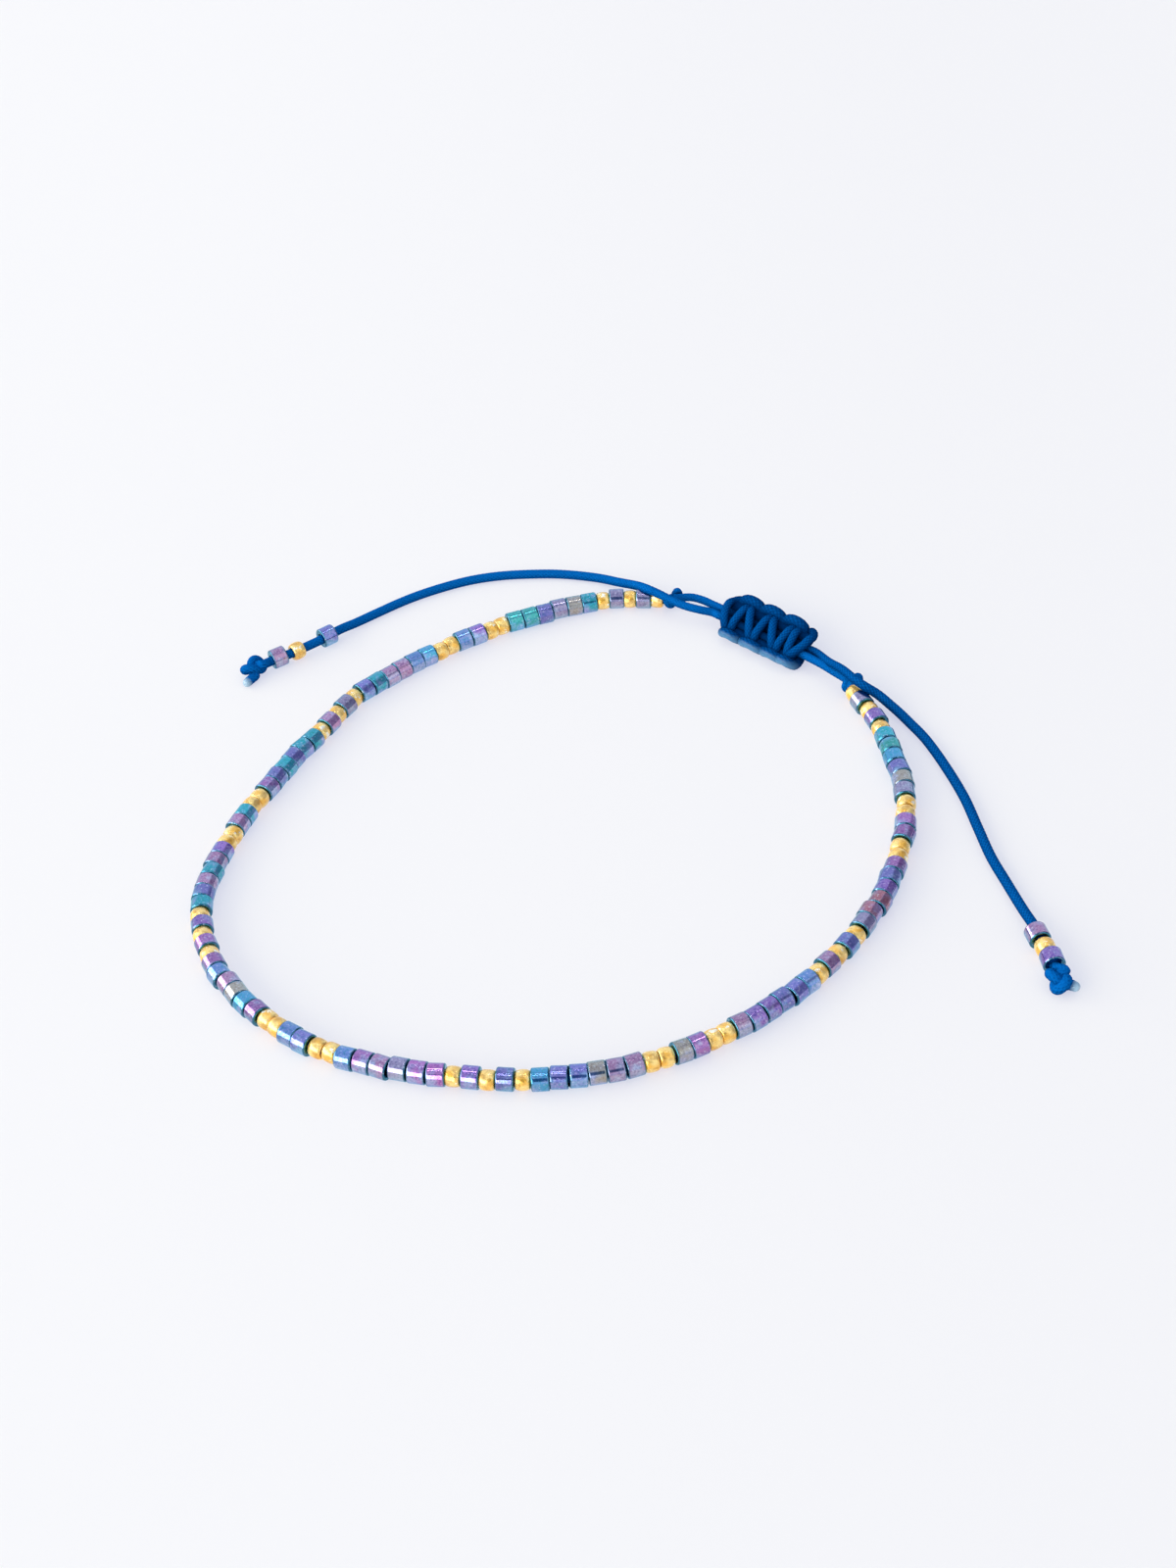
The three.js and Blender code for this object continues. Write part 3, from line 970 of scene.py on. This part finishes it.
@dataclass(frozen=True)
class CordFinish(Finish):
    """Braided nylon: yarns in painted light over grooves in painted shade, a painted pale sheen on the coated
    sides, and a pale melted tip where the cord is cut.
    """

    name: str = "braided_blue_nylon"
    grain: tuple[float, float, float] = (9000.0, 0.6, 0.5)
    ripple: float = 0.00001
    rough: Span = (0.6, 0.25)
    rough_span: Span = (0.0, 1.0)
    lit_span: Span = (0.1, 0.7)
    # Painted light and shade of the cord: lit yarns, painted shade in the braid's grooves, painted shade in
    # the grain's hollows and painted glints on its crowns, then a painted pale sheen for the floor's
    # reflection on the coated sides.
    lit: Colour = (0.0012, 0.1, 0.35)
    valley_shade: Colour = (0.0, 0.022, 0.093)
    fibre_in_shade: Colour = (0.0, 0.062, 0.23)
    glint_fleck: Colour = (0.0046, 0.155, 0.415)
    painted_sheen: Colour = (0.062, 0.23, 0.4)
    tip: Colour = (0.33, 0.47, 0.56)

    def build(self) -> bpy.types.Material:
        """Makes the material.

        Returns:
            The new material.
        """
        material, nodes = new_material(self.name)
        rise = nodes.ramp(nodes.attribute("braid"), self.lit_span)
        tones = tuple(nodes.mix(rise, self.valley_shade, tone) for tone in (self.lit, self.fibre_in_shade, self.glint_fleck))
        colour, height = GrainShadeGlintGroup.place(nodes, tones, self.grain)
        gloss = nodes.attribute("gloss")
        melt = nodes.attribute("melt")
        self.dress(
            nodes,
            height,
            # Painted pale sheen where the coat is, then the pale melted tip.
            Base_Color=nodes.mix(melt, nodes.mix(gloss, colour, self.painted_sheen), self.tip),
            Roughness=nodes.ramp(melt, self.rough_span, self.rough),
            Specular_IOR_Level=0.0,
            Coat_Weight=gloss,
            Coat_Roughness=0.3,
            Coat_IOR=1.7,
        )
        return material


FINISHES = {Slot.LUSTRE: LustreFinish(), Slot.GOLD: GoldFinish(), Slot.CORD: CordFinish()}


def finish_of(slot: Slot) -> bpy.types.Material:
    """The material of a slot, made on first use."""
    finish = FINISHES[slot]
    return bpy.data.materials.get(finish.name) or finish.build()


@dataclass
class BeadString:
    """The string of cylinder and gold beads on its cord."""

    maker: BeadMaker
    braid: Braid = Braid(radius=0.36, sides=16, step=0.13)
    height: float = 0.8

    def build(self) -> None:
        """Strings the beads along the route, drawn together at the left and looser towards the right."""
        points = np.array([(x, y, self.height) for x, y in STRING_ROUTE])
        route = Route(smooth_line(points))
        order = BEAD_FILL.join([BEAD_GROUP] * GROUP_COUNT)
        plain = {"c": self.maker.cylinder.length, "r": self.maker.round_bead.length}
        slack = route.length - sum(plain[letter] for letter in order)
        tints = iter("".join(LUSTRE_CHART))
        places, draws = np.array(STRING_DRAW).T
        cylinders, golds, core = MeshParts(), MeshParts(), MeshParts()
        start = 0.0
        for number, letter in enumerate(order):
            room = plain[letter] + slack * (2 * number + 1) / len(order) ** 2
            ends = np.array([start, start + room])
            start = ends[1]
            ends = ends + np.interp(ends, places, draws)
            middle = ends.mean()
            seat = (route.at(middle), route.heading(middle))
            if letter == "c":
                stretch = (ends[1] - ends[0]) / room
                self.maker.add_cylinder(cylinders, *seat, LUSTRE_LETTERS[next(tints)], stretch)
            else:
                self.maker.add_round(golds, *seat)
        line = smooth_line(np.array([STRING_KNOT_LEFT[0], *points, STRING_KNOT_RIGHT[0]]))
        self.braid.tube(core, line)
        cylinders.piece("string_cylinder_beads", Slot.LUSTRE, "bead_string")
        golds.piece("string_gold_beads", Slot.GOLD, "bead_string")
        core.piece("string_core_cord", Slot.CORD, "bead_string")


@dataclass
class StringKnot:
    """A knot that stops the beads: the cord wraps round itself."""

    side: str
    centre: Point
    bearing_deg: float
    braid: Braid = Braid(step=0.05)
    wrap_reach: float = 0.68
    wrap_rise: float = 0.44
    wrap_turns: float = 1.25
    wrap_advance: float = 0.7
    wrap_middle_deg: float = 180.0
    tuck_share: float = 0.12
    tuck_spread: float = 0.55

    def build(self) -> None:
        """Winds the wrap round the string's direction, with both ends tucked in."""
        bearing = math.radians(self.bearing_deg)
        frame = standing_frame(np.array([math.cos(bearing), math.sin(bearing), 0.0]))
        share = np.linspace(0, 1, 60)
        angle = 2 * math.pi * self.wrap_turns * (share - 0.5) + math.radians(self.wrap_middle_deg)
        tuck = np.clip(np.minimum(share, 1 - share) / self.tuck_share, 0, 1)
        spread = self.tuck_spread + (1 - self.tuck_spread) * tuck
        along = (share - 0.5) * self.wrap_advance
        across = self.wrap_reach * spread * np.cos(angle)
        local = np.stack([along, across, self.wrap_rise * spread * np.sin(angle)], axis=1)
        parts = MeshParts()
        self.braid.tube(parts, local @ frame.T + np.array(self.centre))
        parts.piece(f"string_knot_wrap_{self.side}", Slot.CORD, f"string_knot_{self.side}")


@dataclass(frozen=True)
class Crossing:
    """A stretch of the upper strand over the held cords: its place at each edge, and its bow to the right."""

    back: float
    front: float
    bow: float = 0.0


@dataclass(frozen=True)
class Arch:
    """A turn of the lower strand round an edge, -1 the front or 1 the back: middle, half width and reach."""

    edge: int
    middle: float
    half: float
    reach: float


@dataclass
class SliderKnot:
    """The sliding square knot: one strand zigzags over the held cords, one goes under and round the edges."""

    centre: Point = (18.8, 20.7, 1.125)
    turn_deg: float = -45.5
    roll_deg: float = 18.0
    lane: float = 0.45
    mouths: Span = (-4.6, 4.3)
    link_bends: Span = (-5.1, 4.7)
    tail_bends: Span = (-5.4, 5.0)
    upper_start: tuple[Point, ...] = ((-3.6, 1.9, -0.1), (-4.1, 1.75, 0.15))
    upper_end: tuple[Point, ...] = ((3.85, 1.75, 0.15), (3.4, 1.95, -0.05), (3.0, 1.5, -0.5))
    crossings: tuple[Crossing, ...] = (
        Crossing(-4.4, -3.3, -0.3),
        Crossing(-2.75, -2.7),
        Crossing(-2.4, -0.7),
        Crossing(-0.35, -0.25),
        Crossing(0.05, 1.75),
        Crossing(2.1, 2.15),
        Crossing(2.6, 3.3),
        Crossing(4.1, 3.5, 0.35),
    )
    arches: tuple[Arch, ...] = (
        Arch(-1, -2.55, 0.9, 1.85),
        Arch(1, -2.75, 1.15, 1.92),
        Arch(-1, -0.2, 1.1, 1.85),
        Arch(1, -0.5, 1.15, 1.92),
        Arch(-1, 2.0, 1.05, 1.85),
        Arch(1, 1.85, 1.15, 1.92),
        Arch(-1, 3.4, 0.7, 1.85),
    )
    rise: float = 0.75
    shoulder: Span = (0.75, 0.68)
    edge: Span = (1.3, 0.3)
    hairpin: Span = (1.55, -0.15)
    arch_rise: float = 0.5
    arch_side: Span = (-0.1, 0.2)
    arch_share: float = 0.75
    arch_foot: Span = (1.25, -0.45)
    under: Span = (0.6, -0.68)
    front_filler: Span = (-3.3, 3.9)
    back_filler: Span = (-4.6, 3.9)
    filler_place: Span = (1.2, -0.1)
    # Tones of painted shade far down in the knot and of painted light on its tops, the rise over which one
    # turns to the other and its curve, and how near the mouths the held cords come out of the painted shade.
    hidden_shade_tone: float = 0.1
    top_light_tone: float = 0.55
    shaded_rise: Span = (-0.1, 0.75)
    shade_curve: float = 0.6
    mouth_light: Span = (3.6, 4.8)
    # Coat and painted pale sheen on the front arches, and how far across they come in.
    front_gloss: float = 0.8
    gloss_reach: Span = (1.0, 2.0)
    back_swell: float = 1.18
    swell_reach: Span = (0.8, 1.6)
    upper_braid: Braid = Braid(radius=0.36)
    lower_braid: Braid = Braid(radius=0.43)
    filler_braid: Braid = Braid(radius=0.5)
    held_braid: Braid = Braid(radius=0.35)

    def axis(self, offset_deg: float = 0.0) -> np.ndarray:
        """The level unit direction along the slider, or at an angle to that."""
        turn = math.radians(self.turn_deg + offset_deg)
        return np.array([math.cos(turn), math.sin(turn), 0.0])

    def point(self, u: float, v: float, w: float) -> np.ndarray:
        """A point along, across and above the slider's middle, in the object's frame."""
        return np.array(self.centre) + u * self.axis() + v * self.axis(90.0) + w * UP

    def tail_start(self, side: int) -> tuple[np.ndarray, np.ndarray]:
        """The first points of the tail at the left mouth, 0, or at the right one, 1."""
        lane = self.lane * (2 * side - 1)
        return self.point(self.mouths[side], lane, 0), self.point(self.tail_bends[side], lane, 0)

    def lit_tone(self, line: np.ndarray) -> np.ndarray:
        """Works out a strand's tones of painted shade, dark where it dives between the others and full where
        it comes up.

        Args:
            line: The strand's points.

        Returns:
            A tone for each point.
        """
        roll = math.radians(self.roll_deg)
        away = line - np.array(self.centre)
        rise = away[:, 2] * math.cos(roll) - away @ self.axis(90.0) * math.sin(roll)
        lit_share = share_in(rise, self.shaded_rise) ** self.shade_curve
        return self.hidden_shade_tone + (self.top_light_tone - self.hidden_shade_tone) * lit_share

    def strand(self, rows: list[Point]) -> np.ndarray:
        """A strand of the rolled knot, kept clear of the surface.

        Args:
            rows: Places along, across and above the knot's middle before it is rolled.

        Returns:
            The strand's line in the object's frame.
        """
        roll = math.radians(self.roll_deg)
        points = []
        for u, v, w in rows:
            across = v * math.cos(roll) - w * math.sin(roll)
            points.append(self.point(u, across, v * math.sin(roll) + w * math.cos(roll)))
        line = smooth_line(np.array(points), 12)
        line[:, 2] = np.maximum(line[:, 2], self.lower_braid.radius)
        return line

    def upper_strand(self) -> np.ndarray:
        """The strand that zigzags over the held cords, turning under the arches at the edges.

        Returns:
            Its line.
        """
        shoulder, shoulder_rise = self.shoulder
        edge, edge_rise = self.edge
        hairpin, hairpin_rise = self.hairpin
        profile = ((1.0, edge_rise), (shoulder / edge, shoulder_rise), (0.0, self.rise))
        profile += tuple((-share, rise) for share, rise in reversed(profile[:-1]))
        rows = [*self.upper_start]
        for number, crossing in enumerate(self.crossings):
            toward = 1 if number % 2 == 0 else -1
            for share, rise in profile:
                place = share * toward
                u = crossing.front + (crossing.back - crossing.front) * (1 + place) / 2
                rows.append((u + crossing.bow * (1 - place**2), place * edge, rise))
            for following in self.crossings[number + 1 : number + 2]:
                ends = (crossing.front, following.front) if toward == 1 else (crossing.back, following.back)
                rows.append((sum(ends) / 2, -toward * hairpin, hairpin_rise))
        return self.strand([*rows, *self.upper_end])

    def lower_strand(self) -> np.ndarray:
        """The strand that crosses under the held cords and rounds the edges over the upper one's turns.

        Returns:
            Its line.
        """
        inset, side_rise = self.arch_side
        rows = []
        for arch in self.arches:
            half = [
                (-self.arch_share, *self.under),
                (-1.0, *self.arch_foot),
                (-self.arch_share, arch.reach + inset, side_rise),
                (0.0, arch.reach, self.arch_rise),
            ]
            full = half + [(-share, reach, rise) for share, reach, rise in reversed(half[:-1])]
            for share, reach, rise in full:
                rows.append((arch.middle + share * arch.half, arch.edge * reach, rise))
        return self.strand(rows)

    def build(self) -> None:
        """Ties both strands round the cord's own ends, which are laid in along both edges."""
        parts = MeshParts()
        upper = self.upper_strand()
        lower = self.lower_strand()
        across = (lower - np.array(self.centre)) @ self.axis(90.0)
        # Coat and painted pale sheen on the front arches.
        gloss = self.front_gloss * share_in(-across, self.gloss_reach)
        swell = 1 + (self.back_swell - 1) * share_in(across, self.swell_reach)
        self.upper_braid.tube(parts, upper, tone=self.lit_tone(upper))
        self.lower_braid.tube(parts, lower, tone=self.lit_tone(lower), gloss=gloss, swell=swell)
        place, above = self.filler_place
        for edge, span in ((-1, self.front_filler), (1, self.back_filler)):
            rows = [(u, edge * place, above) for u in np.linspace(*span, 7)]
            # The laid-in ends take the tone of painted shade far down in the knot.
            self.filler_braid.tube(parts, self.strand(rows), tone=self.hidden_shade_tone)
        parts.piece("slider_square_knot", Slot.CORD, "slider")

    def build_held_cords(self) -> None:
        """Runs a cord from each string knot through its lane to the far mouth."""
        for near, (side, link) in enumerate((("left", LEFT_LINK), ("right", RIGHT_LINK))):
            lane = self.lane * (1 - 2 * near)
            places = (self.link_bends[near], 0, self.mouths[1 - near])
            inside = [self.point(u, lane, 0) for u in places]
            line = smooth_line(np.array([*link, *inside]))
            # Painted shade inside the knot, fading to full light towards the mouths.
            away = np.abs((line - np.array(self.centre)) @ self.axis())
            tone = self.hidden_shade_tone + (1 - self.hidden_shade_tone) * share_in(away, self.mouth_light)
            parts = MeshParts()
            self.held_braid.tube(parts, line, tone=tone)
            parts.piece(f"held_cord_{side}", Slot.CORD, f"inner_cord_{side}")


@dataclass(frozen=True)
class TailBead:
    """A bead on a tail: its place in the node's name, its route point and its lustre, or None for gold."""

    place: str
    at: int
    lustre: Lustre | None


@dataclass
class Tail:
    """A free tail of the cord with three beads and an overhand knot at its end."""

    side: str
    points: tuple[Point, ...]
    start: tuple[np.ndarray, ...]
    beads: tuple[TailBead, ...]
    knot_centre: Point
    knot_turn_deg: float
    cut_end: Point
    maker: BeadMaker
    braid: Braid = Braid()
    knot_spread: float = 0.3
    knot_depth: float = 0.32
    knot_from: float = 0.6
    # A tone below 1 paints the whole tail darker, as painted shade.
    tone: float = 1.0
    taut: Span = (4.0, 9.0)
    drawn: float = 0.88
    path_step: float = 0.3

    def build_cord(self, pieces: list[bpy.types.Object]) -> None:
        """Args:
            pieces: The beads and the knot on it. Not used.
        """
        laid = smooth_line(np.array([*self.start, *self.points]))
        laid[:, 2] = np.maximum(laid[:, 2], self.braid.radius)
        route = Route(laid)
        line = route.spaced(self.path_step)
        parts = MeshParts()
        swell = np.interp(route.along, self.taut, (self.drawn, 1.0))
        self.braid.tube(parts, route.line, tone=self.tone, swell=swell)
        cord = parts.piece(f"tail_braid_{self.side}", Slot.CORD, f"tail_cord_{self.side}")

    def build_beads(self) -> list[bpy.types.Object]:
        """Threads the beads.

        Returns:
            The bead pieces.
        """
        made = []
        for bead in self.beads:
            centre = np.array(self.points[bead.at])
            heading = np.array(self.points[bead.at + 1]) - np.array(self.points[bead.at - 1])
            heading[2] = 0.0
            heading = heading / np.linalg.norm(heading)
            parts = MeshParts()
            slot = Slot.LUSTRE if bead.lustre else Slot.GOLD
            if bead.lustre:
                self.maker.add_cylinder(parts, centre, heading, bead.lustre)
            else:
                self.maker.add_round(parts, centre, heading)
            ending = f"{self.side}_{bead.place}"
            made.append(parts.piece(f"tail_seed_{ending}", slot, f"tail_bead_{ending}"))
        return made

    def build_knot(self) -> bpy.types.Object:
        """Ties the overhand knot, from the last bead to the melted cut end.

        Returns:
            The knot piece.
        """
        bearing = np.linspace(math.pi + self.knot_from, 3 * math.pi - self.knot_from, 40)
        x = self.knot_spread * (np.sin(bearing) + 2 * np.sin(2 * bearing))
        y = self.knot_spread * (np.cos(bearing) - 2 * np.cos(2 * bearing))
        z = -self.knot_depth * np.sin(3 * bearing)
        turn = math.radians(self.knot_turn_deg)
        along = x * math.cos(turn) - y * math.sin(turn)
        across = x * math.sin(turn) + y * math.cos(turn)
        loop = np.stack([along, across, z], axis=1) + np.array(self.knot_centre)
        middle = (loop[-1] + np.array(self.cut_end)) / 2
        points = np.vstack([self.points[-1], loop, middle, self.cut_end])
        parts = MeshParts()
        self.braid.tube(parts, smooth_line(points, 6), tip=True)
        return parts.piece(f"tail_overhand_{self.side}", Slot.CORD, f"tail_knot_{self.side}")

    def build(self) -> None:
        """Makes the tail with all that is on it."""
        self.build_cord([*self.build_beads(), self.build_knot()])


@dataclass(frozen=True)
class Camera:
    """The view of the photograph, in an image of 1200 by 1600."""

    place: Point = (2.5, -147.8, 125.3)
    lean_deg: float = 50.5
    roll_deg: float = -4.7
    lens: float = 57.375
    sensor: float = 36.0
    image_height: float = 1600.0
    shift: Span = (5.59, 0.51)

    def build(self) -> None:
        """Makes the camera and hands it to the scene."""
        data = bpy.data.cameras.new("view")
        data.sensor_width = self.sensor
        data.lens = self.lens
        data.shift_x = self.shift[0] / self.image_height
        data.shift_y = self.shift[1] / self.image_height
        data.clip_start = 0.005
        data.clip_end = 20.0
        camera = bpy.data.objects.new("view", data)
        turn = Matrix.Rotation(math.radians(self.lean_deg), 4, "X")
        roll = Matrix.Rotation(math.radians(self.roll_deg), 4, "Z")
        camera.matrix_world = Matrix.Translation(Vector(self.place) * MM) @ turn @ roll
        bpy.context.scene.collection.objects.link(camera)
        bpy.context.scene.camera = camera


@dataclass(frozen=True)
class SkyPatch:
    """A patch of the sky: its azimuth to the left of the front, its elevation, its light and its softness."""

    azimuth_deg: Span
    elevation_deg: Span
    colour: Colour
    soft_deg: float = 0.0


@dataclass(frozen=True)
class Studio:
    """A pale lit table under a soft sky, with a low window of light at the front left."""

    floor_half: float = 3.0
    floor_drop: float = 0.02
    floor_colour: Colour = (0.34, 0.31, 0.2)
    floor_glow: tuple[Colour, Colour] = ((0.56, 0.575, 0.713), (0.514, 0.529, 0.675))
    floor_fade: Span = (-0.06, 0.06)
    sky: Colour = (0.83, 0.95, 1.12)
    zenith: Colour = (0.68, 0.77, 0.95)
    zenith_rise: Span = (0.81, 0.91)
    shade: Colour = (0.08, 0.17, 0.34)
    shade_toward: Point = (0.0, -0.76, 0.65)
    shade_deg: Span = (12.0, 22.0)
    patches: tuple[SkyPatch, ...] = (
        SkyPatch((-100.0, -40.0), (24.0, 55.0), (1.1, 1.2, 1.24), 14.0),
        SkyPatch((-128.0, -78.0), (-10.0, 50.0), (0.33, 0.36, 0.5), 12.0),
        SkyPatch((17.0, 125.0), (3.0, 38.0), (4.2, 4.2, 4.2)),
        SkyPatch((149.0, 156.0), (71.0, 78.0), (13.0, 13.0, 13.0)),
        SkyPatch((-141.0, -134.0), (69.0, 76.0), (13.0, 13.0, 13.0)),
        SkyPatch((59.0, 71.0), (79.0, 85.0), (13.0, 13.0, 13.0)),
    )

    def build_floor(self) -> None:
        """Lays the floor just under the bracelet, its glow fading from the left to the right."""
        mesh = bpy.data.meshes.new("floor")
        half = self.floor_half
        corners = [(-half, -half), (half, -half), (half, half), (-half, half)]
        mesh.from_pydata([(x, y, -self.floor_drop * MM) for x, y in corners], [], [[0, 1, 2, 3]])
        material, nodes = new_material("pale_lit_table")
        axes = nodes.add("SeparateXYZ", Vector=nodes.place())
        nodes.fill(
            nodes.tree.nodes["Principled BSDF"],
            Base_Color=self.floor_colour,
            Roughness=0.9,
            Specular_IOR_Level=0.0,
            Emission_Color=nodes.mix(nodes.ramp(axes.outputs["X"], self.floor_fade), *self.floor_glow),
            Emission_Strength=1.0,
        )
        mesh.materials.append(material)
        floor = bpy.data.objects.new("floor", mesh)
        bpy.context.scene.collection.objects.link(floor)

    def build_sky(self) -> None:
        """Makes the sky, darker behind the viewer, with its bright and dim patches."""
        world = bpy.data.worlds.new("studio_sky")
        bpy.context.scene.world = world
        world.use_nodes = True
        nodes = Nodes(world.node_tree)
        toward = nodes.place("Generated")
        axes = nodes.add("SeparateXYZ", Vector=toward).outputs
        facing = nodes.add("VectorMath", "DOT_PRODUCT", Vector=toward)
        facing.inputs[1].default_value = self.shade_toward
        near, far = (math.cos(math.radians(angle)) for angle in self.shade_deg)
        colour = nodes.mix(nodes.ramp(axes["Z"], self.zenith_rise), self.sky, self.zenith)
        colour = nodes.mix(nodes.ramp(facing.outputs["Value"], (far, near)), colour, self.shade)
        azimuth = nodes.math("ARCTAN2", *(nodes.math("MULTIPLY", axes[name], -1.0) for name in "XY"))
        elevation = nodes.math("ARCSINE", axes["Z"])
        for patch in self.patches:
            level = self.inside(nodes, azimuth, patch.azimuth_deg, patch.soft_deg)
            upright = self.inside(nodes, elevation, patch.elevation_deg, patch.soft_deg)
            colour = nodes.mix(nodes.math("MULTIPLY", level, upright), colour, patch.colour)
        nodes.fill(nodes.tree.nodes["Background"], Color=colour)

    @staticmethod
    def inside(nodes: Nodes, angle: Socket, span: Span, soft_deg: float) -> Socket:
        """Tells how far an angle is inside a span.

        Args:
            nodes: The sky's nodes.
            angle: The angle in radians.
            span: The span's low and high in degrees.
            soft_deg: How far outside the span the mask fades, or 0 for a sharp edge.

        Returns:
            The socket of the mask, from 0 to 1.
        """
        low, high = (math.radians(value) for value in span)
        soft = math.radians(soft_deg)
        if soft == 0:
            return nodes.math("COMPARE", angle, (low + high) / 2, (high - low) / 2)
        fall = nodes.ramp(angle, (high, high + soft), (1.0, 0.0))
        return nodes.math("MULTIPLY", nodes.ramp(angle, (low - soft, low)), fall)

    def build(self) -> None:
        """Sets up the floor, the sky and the colour transform."""
        self.build_floor()
        self.build_sky()
        bpy.context.scene.view_settings.view_transform = "Standard"


def clear_scene() -> None:
    """Removes what a new file starts with."""
    for item in list(bpy.data.objects):
        bpy.data.objects.remove(item)


def main() -> None:
    """Builds the bracelet's pieces in order and dresses them."""
    logging.basicConfig(level=logging.INFO, format="%(name)s: %(message)s")
    clear_scene()
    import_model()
    Camera().build()
    maker = BeadMaker()
    slider = SliderKnot()
    Tail(
        side="left",
        points=LEFT_TAIL,
        start=slider.tail_start(0),
        beads=(
            TailBead("inner", 18, Lustre.INDIGO),
            TailBead("round", 19, None),
            TailBead("outer", 20, Lustre.MAUVE),
        ),
        knot_centre=(-24.15, 22.15, 0.8),
        knot_turn_deg=40.0,
        cut_end=(-25.0, 20.4, 0.42),
        maker=maker,
    ).build()
    Tail(
        side="right",
        points=RIGHT_TAIL,
        start=slider.tail_start(1),
        beads=(
            TailBead("inner", 16, Lustre.PINK),
            TailBead("round", 17, None),
            TailBead("outer", 18, Lustre.VIOLET),
        ),
        knot_centre=(34.95, -22.6, 0.8),
        knot_turn_deg=105.0,
        cut_end=(36.1, -23.3, 0.5),
        maker=maker,
        # The right tail is painted darker, as painted shade.
        tone=0.62,
    ).build()
    slider.build()
    slider.build_held_cords()
    close_wrap = {"wrap_turns": 0.75, "wrap_advance": 1.0, "wrap_middle_deg": 270.0}
    StringKnot("left", *STRING_KNOT_LEFT, **close_wrap).build()
    StringKnot("right", *STRING_KNOT_RIGHT).build()
    BeadString(maker).build()
    Studio().build()


if __name__ == "__main__":
    main()
